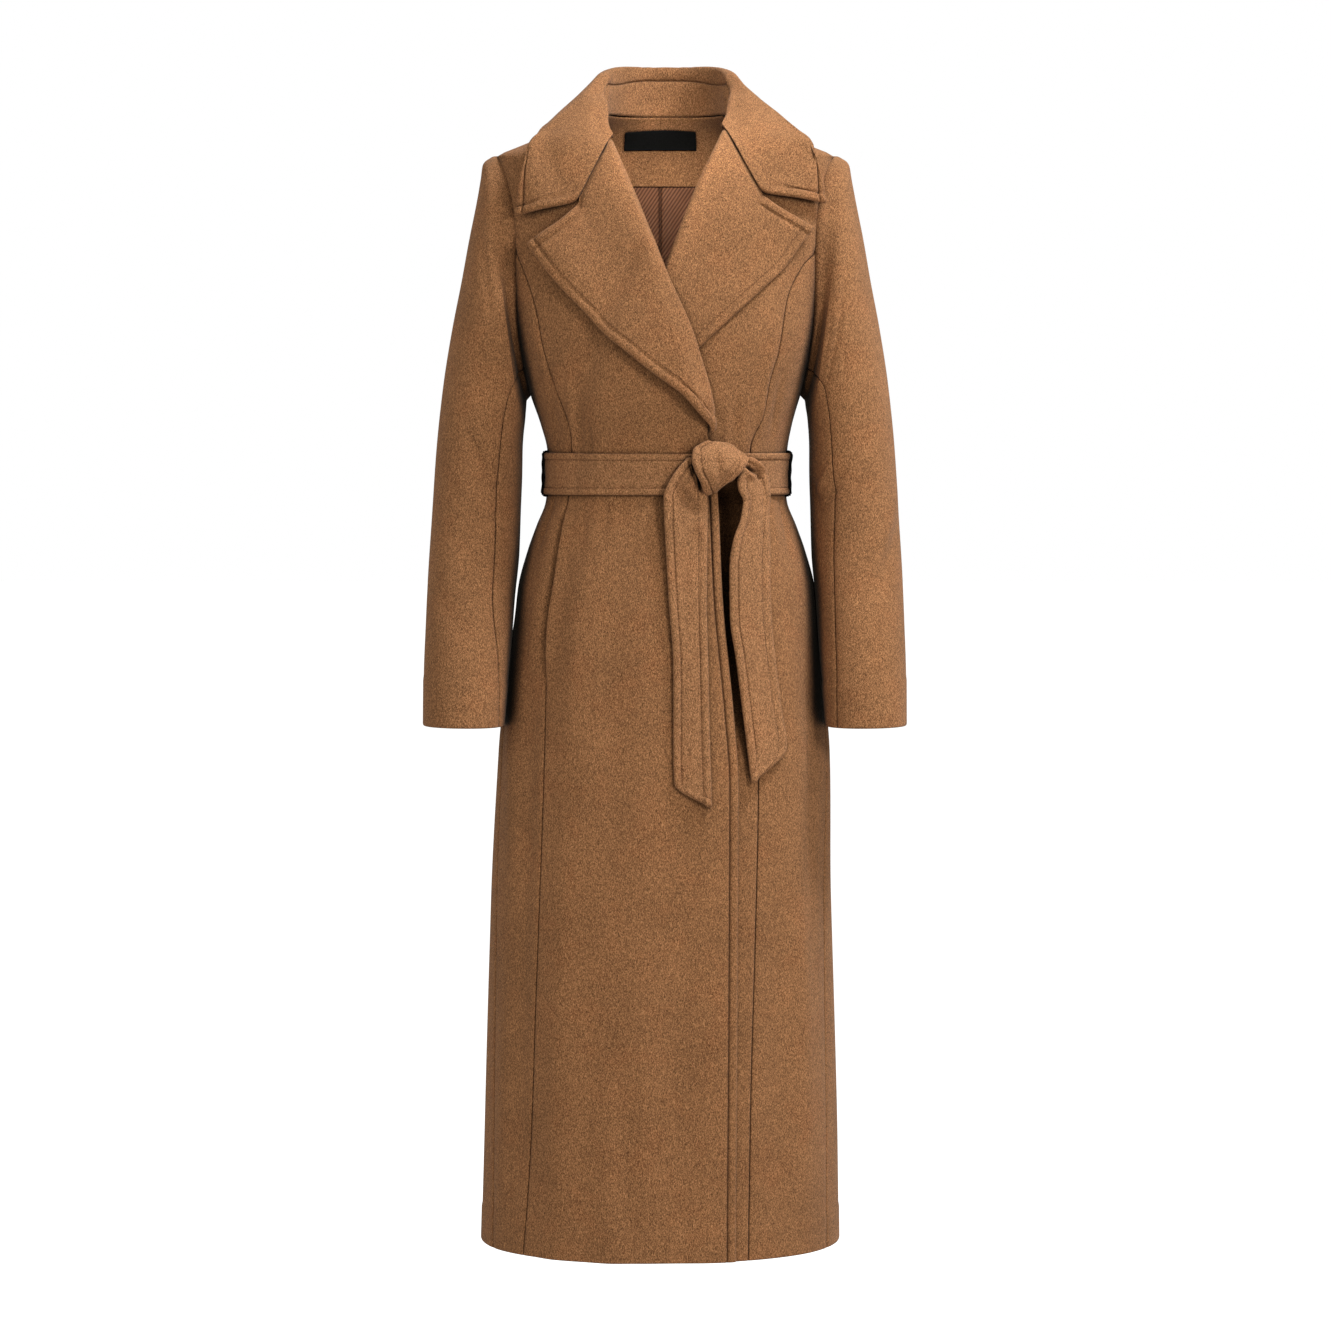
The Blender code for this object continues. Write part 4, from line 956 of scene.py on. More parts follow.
def stitch_template():
    """One stitch, round and tapered to both ends."""
    sides = 5
    rings = ((-0.5, 0.0), (-0.34, 0.9), (0.0, 1.0), (0.34, 0.9), (0.5, 0.0))
    points, faces = [(-0.5, 0.0, 0.0)], []
    for along, size in rings[1:-1]:
        for index in range(sides):
            angle = 2 * math.pi * index / sides
            points.append((along, size * math.cos(angle), size * math.sin(angle)))
    points.append((0.5, 0.0, 0.0))
    last = len(points) - 1
    for index in range(sides):
        after = (index + 1) % sides
        faces.append((0, 1 + after, 1 + index))
        faces.append((last, 1 + 2 * sides + index, 1 + 2 * sides + after))
        for ring in range(2):
            low, high = 1 + ring * sides, 1 + (ring + 1) * sides
            faces.append((low + index, low + after, high + after))
            faces.append((low + index, high + after, high + index))
    return np.array(points), np.array(faces)


def along_run(at, length, values):
    """Points or directions of a row of stitches, read at given lengths along it."""
    return np.stack([np.interp(at, length, values[:, axis]) for axis in range(3)], axis=-1)


def stitches_mesh(name, runs, pitch, size):
    """All rows of stitches in one mesh."""
    template, template_faces = stitch_template()
    scaled = template * np.array(size)
    all_points, all_faces, start = [], [], 0
    for points, normals in runs:
        length = row_lengths(points[None])[0]
        centres = np.arange(pitch / 2, length[-1], pitch)
        at = along_run(centres, length, points)
        up = unit(along_run(centres, length, normals))
        ahead = along_run(np.minimum(centres + 0.001, length[-1]), length, points)
        tangent = unit(ahead - along_run(np.maximum(centres - 0.001, 0.0), length, points))
        side = unit(np.cross(up, tangent))
        up = np.cross(tangent, side)
        ways = enumerate((tangent, side, up))
        placed = at[:, None] + sum(
            way[:, None] * scaled[None, :, axis, None] for axis, way in ways
        )
        numbers = np.arange(len(at))[:, None, None] * len(template)
        all_points.append(placed.reshape(-1, 3))
        all_faces.append((template_faces[None] + numbers + start).reshape(-1, 3))
        start += placed.shape[0] * len(template)
    return mesh_object(name, np.vstack(all_points), np.vstack(all_faces))


# ---------------------------------------------------------------- body panels
def panel(name, rows, start, end, left, right, lift=None, own_relief=None):
    """One body panel between two seams, given as turns for each row."""
    step = 0.01
    start_way = (section_point(start + step, rows) - section_point(start - step, rows)) / (2 * step)
    end_way = (section_point(end + step, rows) - section_point(end - step, rows)) / (2 * step)
    start = start - SEAM_LAP / np.linalg.norm(start_way, axis=-1)
    end = end + SEAM_LAP / np.linalg.norm(end_way, axis=-1)
    share = np.linspace(0.0, 1.0, 60)
    sweep = section_point(start[:, None] + (end - start)[:, None] * share, rows[:, None])
    run = row_lengths(sweep)
    width = run[:, -1]
    left_slant = border_slant(section_point(start, rows), unit(start_way))
    right_slant = border_slant(section_point(end, rows), unit(end_way))
    steps = {"seam": SEAM_STEPS, "welt": WELT_STEPS, "plain": PLAIN_STEPS}
    borders = steps[left[0]], steps[right[0]], left_slant, right_slant
    away = border_columns(width, *borders, CLOTH_SPACING)
    at_share = np.array([np.interp(a, r, share) for a, r in zip(away, run)])
    turn = start[:, None] + (end - start)[:, None] * at_share
    z = np.repeat(rows[:, None], turn.shape[1], axis=1)
    from_left = away / left_slant[:, None]
    from_right = (width[:, None] - away) / right_slant[:, None]
    edges = [
        (from_left, left[0], left[1]),
        (from_right, right[0], right[1]),
        (z - HEM_Z, "plain", 0.0),
        (rows[-1] - z, "plain", 0.0),
    ]
    relief = body_relief(turn, z) + turned_up(z - HEM_Z, *HEM_FOLD)
    if own_relief is not None:
        relief += own_relief(from_left, from_right, z)
    out = 0.0 if lift is None else lift(section_point(turn, z)[..., 0], z)
    return cloth_sheet(name, skin(turn, z, out), edges, relief)


def turned_up(from_edge, depth, height):
    """The cloth that is turned up inside a hem or a cuff shows as a slight step."""
    return height * smoothstep((depth - from_edge) / FOLD_EDGE)


def front_outer_turn(rows, princess):
    """Outer border of a front: princess seam, then the armhole, then the shoulder seam."""
    below = np.abs(turn_at(princess(rows, "x"), rows))
    return np.where(rows < PRINCESS_TOP_Z, below, armhole_turn(rows))


def setback_edge(edge, rows, toward):
    """Free edge of a front, moved back where the roll of its lapel wraps round it."""
    rolled = smoothstep((rows - ROLL_END_Z) / ROLL_FADE)
    rolled = rolled * smoothstep((ROLL_TOP_Z - rows) / ROLL_FADE)
    return turn_at(edge(rows, "x") + toward * ROLL_SETBACK * rolled, rows)


def side_turn(rows):
    """Side seam below the underarm, front edge of the armhole above it."""
    seam = np.radians(SIDE_SEAM(rows, "turn"))
    return np.where(rows <= UNDERARM_Z, seam, armhole_turn(rows))


def back_seam(rows):
    """Side border of a back: side seam, then the armhole, then the shoulder seam."""
    return np.where(rows <= UNDERARM_Z, side_turn(rows), math.pi - armhole_turn(rows))


def armhole_share(rows, top):
    """How deep a border's seam is: shallow round the armhole, full below it."""
    above = np.where(rows < 0.0, ARMHOLE_SHARE, SHOULDER_SEAM_SHARE)
    share = np.where(rows < top - 0.004, 1.0, above)
    return share[:, None]


def pocket_mouth(z):
    """Where along the princess seam the pocket is open."""
    return smoothstep((POCKET_TOP_Z - z) / 0.03) * smoothstep((z - POCKET_END_Z) / 0.05)


def pocket_lip(from_left, from_right, z):
    """The front panel's side of the pocket mouth stands up along the princess seam."""
    return 0.0034 * pocket_mouth(z) * bell(from_left, 0.009)


def pocket_hollow(from_left, from_right, z):
    """The side panel sinks under the front panel along the pocket mouth, and bulges beside it."""
    sink = -0.0078 * bell(from_right, 0.005)
    bulge = 0.0026 * bell(from_right - 0.02, 0.012)
    return pocket_mouth(z) * (sink + bulge)


# ---------------------------------------------------------------- materials
# Painted shade: ambient occlusion darkens the base colour in seams, folds, gaps and under edges.
PAINTED_SHADE_REACHES = (
    # reach, openness where the painted shade is darkest, openness where none is painted
    (0.022, 0.18, 0.86),
    (0.062, 0.18, 0.50),
)


def node(tree, kind, inputs=None, **settings):
    """Shader node with its settings, and its inputs set or linked."""
    made = tree.nodes.new(kind)
    for name, value in settings.items():
        setattr(made, name, value)
    for name, value in (inputs or {}).items():
        socket = made.inputs[name]
        if isinstance(value, bpy.types.NodeSocket):
            tree.links.new(value, socket)
        else:
            socket.default_value = value
    return made


def bare_material(name, roughness):
    """New dull material, its node tree and its shader."""
    material = bpy.data.materials.new(name)
    material.use_nodes = True
    tree = material.node_tree
    shader = tree.nodes["Principled BSDF"]
    shader.inputs["Roughness"].default_value = roughness
    shader.inputs["Specular IOR Level"].default_value = 0.08
    return material, tree, shader


def noise(tree, place, scale, detail=2.0, rough=0.6):
    """Noise from 0 to 1."""
    inputs = {"Vector": place, "Scale": scale, "Detail": detail, "Roughness": rough}
    return node(tree, "ShaderNodeTexNoise", inputs).outputs["Fac"]


def maths(tree, operation, first, second):
    """One operation on two values."""
    return node(tree, "ShaderNodeMath", {0: first, 1: second}, operation=operation).outputs[0]


def mixed(tree, share, first, second, blend="MIX"):
    """Two colours blended."""
    inputs = {0: share, 6: first, 7: second}
    return node(tree, "ShaderNodeMix", inputs, data_type="RGBA", blend_type=blend).outputs[2]


def ranged(tree, value, low, high, to_low, to_high):
    """A value carried from one range to another."""
    names = ("Value", "From Min", "From Max", "To Min", "To Max")
    inputs = dict(zip(names, (value, low, high, to_low, to_high)))
    return node(tree, "ShaderNodeMapRange", inputs).outputs["Result"]


def grey(tree, value):
    """A value as a grey."""
    return node(tree, "ShaderNodeCombineColor", {0: value, 1: value, 2: value}).outputs["Color"]


def sum_of(tree, first, first_share, second, second_share):
    """Weighted sum of two values."""
    one = maths(tree, "MULTIPLY", first, first_share)
    two = maths(tree, "MULTIPLY", second, second_share)
    return maths(tree, "ADD", one, two)


def add_finish(tree, shader, tone, height, strength, distance):
    """Gives the shader its colour, and small bumps from a height."""
    tree.links.new(tone, shader.inputs["Base Color"])
    values = {"Height": height, "Strength": strength, "Distance": distance}
    bump = node(tree, "ShaderNodeBump", values)
    tree.links.new(bump.outputs["Normal"], shader.inputs["Normal"])


def ramp(tree, value, *stops):
    """Colour by value, between stops of (value, colour)."""
    made = node(tree, "ShaderNodeValToRGB", {"Fac": value})
    band = made.color_ramp
    while len(band.elements) < len(stops):
        band.elements.new(0.5)
    for element, (at, colour) in zip(band.elements, stops):
        element.position = at
        element.color = (*colour, 1.0)
    return made.outputs["Color"]


def shade(colour, factor):
    """The same colour, darker or lighter."""
    return tuple(min(1.0, channel * factor) for channel in colour[:3])


def painted_crevice_shade(tree):
    """Painted shade: base colour darkened by ambient occlusion deep in seams, folds and gaps."""
    depth = 1.0
    for reach, darkest, open_at in PAINTED_SHADE_REACHES:
        hollow = node(tree, "ShaderNodeAmbientOcclusion", {"Distance": reach}, samples=6)
        level = ranged(tree, hollow.outputs["AO"], darkest, open_at, 0.04, 1.0)
        depth = maths(tree, "MULTIPLY", depth, level)
    return grey(tree, depth)


def wool_material(name, colour, nap):
    """Brushed, heathered wool: short golden and dark fibres down the cloth, and soft clouds."""
    material, tree, shader = bare_material(name, 0.93)
    place = node(tree, "ShaderNodeTexCoord").outputs["Object"]
    nap_place = node(tree, "ShaderNodeMapping", {"Vector": place, "Scale": (1.0, 1.0, 0.40)})
    nap_place = nap_place.outputs["Vector"]
    fibres = noise(tree, nap_place, 1250.0, 3.0, 0.75)
    grain = noise(tree, place, 2300.0, 1.0, 0.5)
    tufts = noise(tree, nap_place, 330.0, 2.0, 0.6)
    clouds = noise(tree, place, 13.0, 3.0, 0.55)
    red = noise(tree, place, 27.0, 3.0, 0.6)
    blend = sum_of(tree, fibres, 0.70, grain, 0.30)
    red_shade = (colour[0] * 1.02, colour[1] * 0.84, colour[2] * 0.78)
    light = (0.605, (colour[0] * 1.95, colour[1] * 2.05, colour[2] * 2.05))
    dark, dark_red = (0.395, shade(colour, 0.26)), (0.395, shade(red_shade, 0.26))
    heather = ramp(tree, blend, dark, (0.46, shade(colour, 0.70)), (0.52, colour[:3]), light)
    reddish = ramp(tree, blend, dark_red, (0.49, shade(red_shade, 0.86)), light)
    tone = mixed(tree, ranged(tree, red, 0.50, 0.72, 0.0, 0.6), heather, reddish)
    for value, low, high in ((clouds, 0.90, 1.08), (tufts, 0.88, 1.12)):
        level = grey(tree, ranged(tree, value, 0.3, 0.7, low, high))
        tone = mixed(tree, 1.0, tone, level, "MULTIPLY")
    # painted shade: the base colour is darkened in crevices and gaps
    tone = mixed(tree, 1.0, tone, painted_crevice_shade(tree), "MULTIPLY")
    add_finish(tree, shader, tone, sum_of(tree, fibres, 0.7, tufts, 0.45), nap, 0.0012)
    shader.inputs["Sheen Weight"].default_value = 0.08
    shader.inputs["Sheen Roughness"].default_value = 0.50
    shader.inputs["Sheen Tint"].default_value = (1.0, 0.88, 0.74, 1.0)
    return material


def lining_material(name, colour):
    """Twill lining with a soft shine along its diagonal ribs."""
    material, tree, shader = bare_material(name, 0.48)
    place = node(tree, "ShaderNodeTexCoord").outputs["Object"]
    lean = {"Vector": place, "Rotation": (0.0, math.radians(-34.0), 0.0)}
    turned = node(tree, "ShaderNodeMapping", lean).outputs["Vector"]
    wave = {"Vector": turned, "Scale": 92.0, "Distortion": 0.4, "Detail": 1.0, "Detail Scale": 3.0}
    ribs = node(tree, "ShaderNodeTexWave", wave, bands_direction="X").outputs["Fac"]
    value = sum_of(tree, ribs, 0.7, noise(tree, place, 40.0, 3.0, 0.6), 0.35)
    stops = (0.20, shade(colour, 0.62)), (0.52, colour[:3]), (0.90, shade(colour, 1.70))
    # painted shade: the lining's colour is darkened in crevices and gaps
    tone = mixed(tree, 1.0, ramp(tree, value, *stops), painted_crevice_shade(tree), "MULTIPLY")
    add_finish(tree, shader, tone, ribs, 0.8, 0.0006)
    return material


def woven_material(name, colour, roughness, scale):
    """Plain close weave for the label and the threads."""
    material, tree, shader = bare_material(name, roughness)
    place = node(tree, "ShaderNodeTexCoord").outputs["Object"]
    threads = noise(tree, place, scale, 2.0, 0.5)
    tone = ramp(tree, threads, (0.35, shade(colour, 0.6)), (0.65, shade(colour, 1.5)))
    add_finish(tree, shader, tone, threads, 0.4, 0.0003)
    return material


def finish(piece, material, nodes=()):
    """Gives a piece its material, its body and the solids that it stands for."""
    piece.data.materials.clear()
    piece.data.materials.append(material)
    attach(piece, "root")
    if nodes:
        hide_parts(*nodes)


def shared_wool(name, colour, nap):
    """One wool for all the pieces cut from it."""
    return bpy.data.materials.get(name) or wool_material(name, colour, nap)


def coat_wool(settings):
    """The coat's own wool."""
    return shared_wool("coat_cloth", settings.wool_colour, settings.nap)


# ---------------------------------------------------------------- settings
def colour_property(name, description, default):
    """Colour in the panel."""
    words = {"name": name, "description": description, "default": default}
    return bpy.props.FloatVectorProperty(**words, subtype="COLOR", size=3, min=0.0, max=1.0)


def size_property(name, description, default):
    """Length in the panel, in metres."""
    words = {"name": name, "description": description, "default": default}
    return bpy.props.FloatProperty(**words, min=0.0, precision=5, unit="LENGTH")


def share_property(name, description, default):
    """Strength in the panel."""
    words = {"name": name, "description": description, "default": default}
    return bpy.props.FloatProperty(**words, min=0.0, subtype="FACTOR")


class CoatSettings(bpy.types.PropertyGroup):
    """Colours, sizes and light of the coat"""

    wool_colour: colour_property("Wool", "Middle colour of the coat's wool", (0.268, 0.121, 0.05))
    # Painted light: the belt's wool is a lighter copy of the coat's wool.
    belt_lit_colour: colour_property("Belt wool", "Middle colour of the belt", (0.3, 0.139, 0.06))
    lining_colour: colour_property("Lining", "Colour of the twill lining", (0.145, 0.06, 0.029))
    label_colour: colour_property("Label", "Colour of the neck label", (0.004, 0.004, 0.0035))
    thread_colour: colour_property("Thread", "Colour of the edge stitching", (0.115, 0.05, 0.022))
    # Near-black loop colour: partly the thread's own colour, partly painted shade for the shadow
    # the loops lie in.
    loop_thread_and_shade_colour: colour_property("Belt loops", "Colour of the thread loops", (0.003, 0.003, 0.003))
    stitch_pitch: size_property("Stitch pitch", "From one edge stitch to the next", 0.0034)
    stitch_length: size_property("Stitch length", "Length of an edge stitch", 0.0025)
    stitch_thickness: size_property("Stitch thickness", "Radius of the thread", 0.00036)
    loop_strand: size_property("Loop strand", "Radius of a strand of the belt loops", 0.0013)
    label_width: size_property("Label width", "Length of the label across the neck", 0.084)
    label_height: size_property("Label height", "Height of the neck label", 0.022)
    floor_drop: size_property("Floor drop", "Height of the hem over the floor", 0.45)
    nap: share_property("Nap", "Strength of the brushed nap", 0.55)
    room_light: share_property("Room light", "Strength of the even light all round", 0.52)
    key_light: share_property("Key light", "Strength of the studio lamps", 1.0)


# ---------------------------------------------------------------- operators
class COAT_OT_fronts(bpy.types.Operator):
    """Make both fronts, from their free edges to the princess seams"""

    bl_idname = "wrap_coat.fronts"
    bl_label = "Fronts"

    def execute(self, context):
        wool = coat_wool(context.scene.wrap_coat)
        rows = row_levels(HEM_Z, SHOULDER_TOP_Z, ROW_SPACING)
        seam = ("seam", armhole_share(rows, PRINCESS_TOP_Z))
        below_roll = smoothstep((ROLL_END_Z - 0.012 - rows) / 0.012)[:, None]
        piece, outer, normal = panel(
            "coat_front_right",
            rows,
            -front_outer_turn(rows, RIGHT_PRINCESS),
            setback_edge(RIGHT_EDGE, rows, -1),
            seam,
            ("welt", below_roll),
            front_lift,
            pocket_lip,
        )
        finish(piece, wool, ("front_right", "front_right_skirt"))
        line = -1 - STITCH_LINE
        keep_stitches(outer[:, line], normal[:, line], rows < ROLL_END_Z - 0.03)
        turns = setback_edge(LEFT_EDGE, rows, +1), front_outer_turn(rows, LEFT_PRINCESS)
        piece = panel("coat_front_left", rows, *turns, ("plain", 0.0), seam, under_dip)[0]
        finish(piece, wool, ("front_left", "front_left_skirt"))
        return {"FINISHED"}


class COAT_OT_sides(bpy.types.Operator):
    """Make the panels between the princess seams and the side seams"""

    bl_idname = "wrap_coat.sides"
    bl_label = "Side fronts"

    def execute(self, context):
        wool = coat_wool(context.scene.wrap_coat)
        rows = row_levels(HEM_Z, SIDE_TOP_Z - 0.002, ROW_SPACING)
        inner = np.abs(turn_at(RIGHT_PRINCESS(rows, "x"), rows))
        outer_seam, inner_seam = ("seam", armhole_share(rows, UNDERARM_Z)), ("seam", 1.0)
        piece = panel(
            "coat_side_front_right",
            rows,
            -side_turn(rows),
            -inner,
            outer_seam,
            inner_seam,
            own_relief=pocket_hollow,
        )[0]
        finish(piece, wool, ("side_front_right", "side_front_right_skirt"))
        inner = np.abs(turn_at(LEFT_PRINCESS(rows, "x"), rows))
        side = side_turn(rows)
        piece = panel("coat_side_front_left", rows, inner, side, inner_seam, outer_seam)[0]
        finish(piece, wool, ("side_front_left", "side_front_left_skirt"))
        return {"FINISHED"}


class COAT_OT_backs(bpy.types.Operator):
    """Make both halves of the back, with the seam down its centre"""

    bl_idname = "wrap_coat.backs"
    bl_label = "Backs"

    def execute(self, context):
        wool = coat_wool(context.scene.wrap_coat)
        rows = row_levels(HEM_Z, BACK_NECK_Z, ROW_SPACING)
        middle = np.full(len(rows), math.pi)
        outer_seam, middle_seam = ("seam", armhole_share(rows, UNDERARM_Z)), ("seam", 1.0)
        for word, start, end, seams in (
            ("left", back_seam(rows), middle, (outer_seam, middle_seam)),
            ("right", -middle, -back_seam(rows), (middle_seam, outer_seam)),
        ):
            piece = panel("coat_back_" + word, rows, start, end, *seams)[0]
            finish(piece, wool, ("back_" + word, "back_" + word + "_skirt"))
        return {"FINISHED"}


class COAT_OT_lapels(bpy.types.Operator):
    """Make the turned-back lapels with their stitched edges"""

    bl_idname = "wrap_coat.lapels"
    bl_label = "Lapels"

    def execute(self, context):
        wool = coat_wool(context.scene.wrap_coat)
        for word, roll, outer_edge, top, toward in (
            ("right", RIGHT_EDGE, RIGHT_LAPEL, RIGHT_LAPEL_TOP, -1),
            ("left", LEFT_EDGE, LEFT_LAPEL, LEFT_LAPEL_TOP, +1),
        ):
            piece = make_lapel("coat_lapel_" + word, roll, outer_edge, top, toward)
            finish(piece, wool, ("lapel_" + word,))
        return {"FINISHED"}


def make_lapel(name, roll, outer_edge, top, toward):
    """Lapel from its roll line to its outer edge, bent over the roll at its first columns."""
    first_z, outer_top = float(top(0.0, "z")), float(top(1.0, "z"))
    steps = WELT_STEPS / LAPEL_LENGTH
    even = np.linspace(steps[-1], 1.0 - 0.004, LAPEL_ROWS)
    down = np.concatenate([steps[:-1], even, 1.0 - LAPEL_END_STEPS])
    roll_z = first_z + (LAPEL_END_Z - first_z) * down
    outer_z = outer_top + (LAPEL_END_Z - LAPEL_END_DROP - outer_top) * down
    roll_line = np.stack([roll(roll_z, "x"), roll_z], axis=-1)
    outer_line = np.stack([outer_edge(outer_z, "x"), outer_z], axis=-1)
    span = outer_line - roll_line
    width = np.linalg.norm(span, axis=-1)
    slants = np.ones(len(down)), np.full(len(down), LAPEL_SLANT)
    away = border_columns(width, ROLL_STEPS, WELT_STEPS, *slants, LAPEL_SPACING)
    across = away / width[:, None]
    flat = roll_line[:, None] + span[:, None] * across[..., None]
    top_line = np.stack([top(across[0], "x"), top(across[0], "z")], axis=-1)
    flat += (1.0 - down)[:, None, None] * (top_line - flat[0])[None]
    lap = gorge_lap(away[0], across[0], toward)
    flat += (1.0 - smoothstep(down * LAPEL_LENGTH / LAP_FADE))[:, None, None] * lap[None]
    top_line = top_line + lap
    x, z = flat[..., 0], flat[..., 1]
    edge_line = np.stack([flat[:, -1, 0], np.zeros(len(down)), flat[:, -1, 1]], axis=-1)
    way = np.stack([span[:, 0], np.zeros(len(down)), span[:, 1]], axis=-1)
    from_edge = (width[:, None] - away) / border_slant(edge_line, unit(way))[:, None]
    top_way = unit(np.gradient(top_line, axis=0))
    reach = flat - top_line[None]
    from_top = np.abs(reach[..., 0] * top_way[None, :, 1] - reach[..., 1] * top_way[None, :, 0])
    free = smoothstep((across - NOTCH_SHARE - 0.02) / 0.05)
    turn = turn_at(x, z)
    lift = front_lift(x, z) if toward < 0 else 0.0
    out_share = np.sqrt(np.clip(away / ROLL_WIDTH, 0, 1))
    round_edge = ROLL_START_OUT + (LAYER - ROLL_START_OUT) * out_share
    spring = lapel_spring(away, across, z, outer_top, toward)
    spring = spring * (1.0 - (1.0 - free) * 0.75 * bell(from_top, 0.018))
    face = skin(turn, z, lift + round_edge + spring)
    relief = body_relief(turn, z) * LAPEL_CREASE_SHARE
    relief -= LAP_SINK * (1.0 - free) * smoothstep((GORGE_LAP + 0.0015 - from_top) / 0.0045)
    relief += crease_field(LAPEL_CREASES, x * -toward, z)
    edges = [
        (from_edge, "welt", 1.0),
        (from_top, "welt", free),
        (away * 3.0, "plain", 0.0),
        ((1.0 - down)[:, None] * LAPEL_LENGTH * np.ones(z.shape), "plain", 0.0),
    ]
    piece, outer, normal = cloth_sheet(name, face, edges, relief, flip=toward > 0)
    line = -1 - STITCH_LINE
    inside = (down > STITCH_IN / LAPEL_LENGTH) & (down < 0.97)
    keep_stitches(outer[:, line], normal[:, line], inside)
    line = STITCH_LINE
    beside = (across[0] > NOTCH_SHARE + 0.02) & (from_edge[line] > STITCH_IN)
    keep_stitches(outer[line], normal[line], beside)
    return piece


def gorge_lap(away, across, toward):
    """How the sewn part of a lapel's top is tucked under the collar: straight up at the roll."""
    side = np.array([toward, 1.0])
    along_roll, along_gorge = side * LAP_ALONG_ROLL, side * LAP_ALONG_GORGE
    beside_roll = smoothstep(away / LAP_TURN)[:, None]
    sewn_top = 1.0 - smoothstep((across - NOTCH_SHARE + 0.05) / 0.05)
    way = along_roll + (along_gorge - along_roll) * beside_roll
    return GORGE_LAP * sewn_top[:, None] * unit(way)


def lapel_spring(away, across, z, outer_top, toward):
    """How far a lapel stands off the front: its fold, its free tip, and the right one's belly."""
    right = toward < 0
    held = 1.0 if right else smoothstep((z - LAPEL_FLAT_Z) / LAPEL_FLAT_FADE)
    spring = LAPEL_SPRING * held * smoothstep(away / LAPEL_SPRING_WIDTH)
    if right:
        low = smoothstep((-0.15 - z) / 0.12)
        spring = spring + 0.0075 * low * smoothstep(away / 0.03)
    near_tip = smoothstep((across - 0.45) / 0.45) * bell(z - outer_top, 0.05)
    spring = spring + LAPEL_TIP_LIFT[0 if right else 1] * near_tip
    if right:
        upper = smoothstep((z + 0.15) / 0.06)
        belly = smoothstep(away / 0.008) * (1.0 - smoothstep((away - 0.008) / 0.036))
        spring = spring + ROLL_BELLY * upper * belly
    return spring


def make_collar(name):
    """Collar in one sheet: up the stand, over the fold and down to its stitched edge."""
    fine = WELT_STEPS / COLLAR_HALF_LENGTH
    steps = np.concatenate([fine, np.linspace(fine[-1], 1.0, 72)[1:]])
    stand = np.linspace(0.0, 1.0, 15)
    fall = np.concatenate([[0.0, 0.05, 0.10, 0.15, 0.21], np.linspace(0.27, 1.0, 22)])
    ribs = [collar_rib(RIGHT_COLLAR, along, -1, stand, fall) for along in steps]
    ribs += [collar_rib(LEFT_COLLAR, along, +1, stand, fall) for along in steps[-2::-1]]
    ribs = np.array(ribs)
    # read each rib again at even steps, with fine ones at its two ends and at the stitched row
    run = row_lengths(ribs)
    width, fold_at = run[:, -1], run[:, len(stand) - 1]
    ones = np.ones(len(ribs))
    away = border_columns(width, SEAM_STEPS, WELT_STEPS, ones, ones, COLLAR_SPACING)
    from_notch = np.concatenate([steps, steps[-2::-1]])
    row_level = ROW_SIDE_Z + ROW_RISE * smoothstep((from_notch - 0.36) / 0.55)
    climb = len(stand) - 2
    row_at = [np.interp(z, rib[:climb, 2], r[:climb]) for z, rib, r in zip(row_level, ribs, run)]
    row_at = np.maximum(row_at, 0.01)
    away = np.sort(np.hstack([away, row_at[:, None] + ROW_STEPS[None]]), axis=1)
    face = np.array([along_run(a, r, rib) for a, r, rib in zip(away, run, ribs)])
    for _ in range(2):
        face[:, 1:-1] = face[:, 1:-1] * 0.5 + (face[:, :-2] + face[:, 2:]) * 0.25
    from_start = np.linalg.norm(face - face[:1], axis=-1)
    from_end = np.linalg.norm(face - face[-1:], axis=-1)
    from_edge = width[:, None] - away
    share = away / width[:, None]
    free = smoothstep((share - 0.50) / 0.06)
    has_row = smoothstep((ribs[:, climb, 2] - row_level - 0.002) / 0.003)[:, None]
    row_share = has_row * smoothstep(away / 0.001)
    from_row = row_at[:, None] - away
    relief = -ROW_DEPTH * row_share * bell(from_row, ROW_SPREAD)
    relief += 0.0008 * row_share * bell(from_row + 0.006, 0.0045)
    over_fold = smoothstep((away - fold_at[:, None]) / 0.01)
    relief += crease_field(COLLAR_CREASES, face[..., 0], face[..., 2]) * over_fold
    edges = [
        (from_edge, "welt", 1.0),
        (away, "seam", 1.0),
        (from_start, "welt", free),
        (from_end, "welt", free),
    ]
    piece, outer, normal = cloth_sheet(name, face, edges, relief, flip=True)
    line = -1 - STITCH_LINE
    inside = (from_start[:, line] > STITCH_IN) & (from_end[:, line] > STITCH_IN)
    keep_stitches(outer[:, line], normal[:, line], inside)
    for row in (STITCH_LINE, -1 - STITCH_LINE):
        keep = (share[row] > 0.53) & (from_edge[row] > STITCH_IN)
        keep_stitches(outer[row], normal[row], keep)
    row = [
        np.array([along_run(at, a, values) for at, a, values in zip(row_at, away, grid)])
        for grid in (outer, normal)
    ]
    keep_stitches(*row, has_row[:, 0] > 0.9)
    return piece


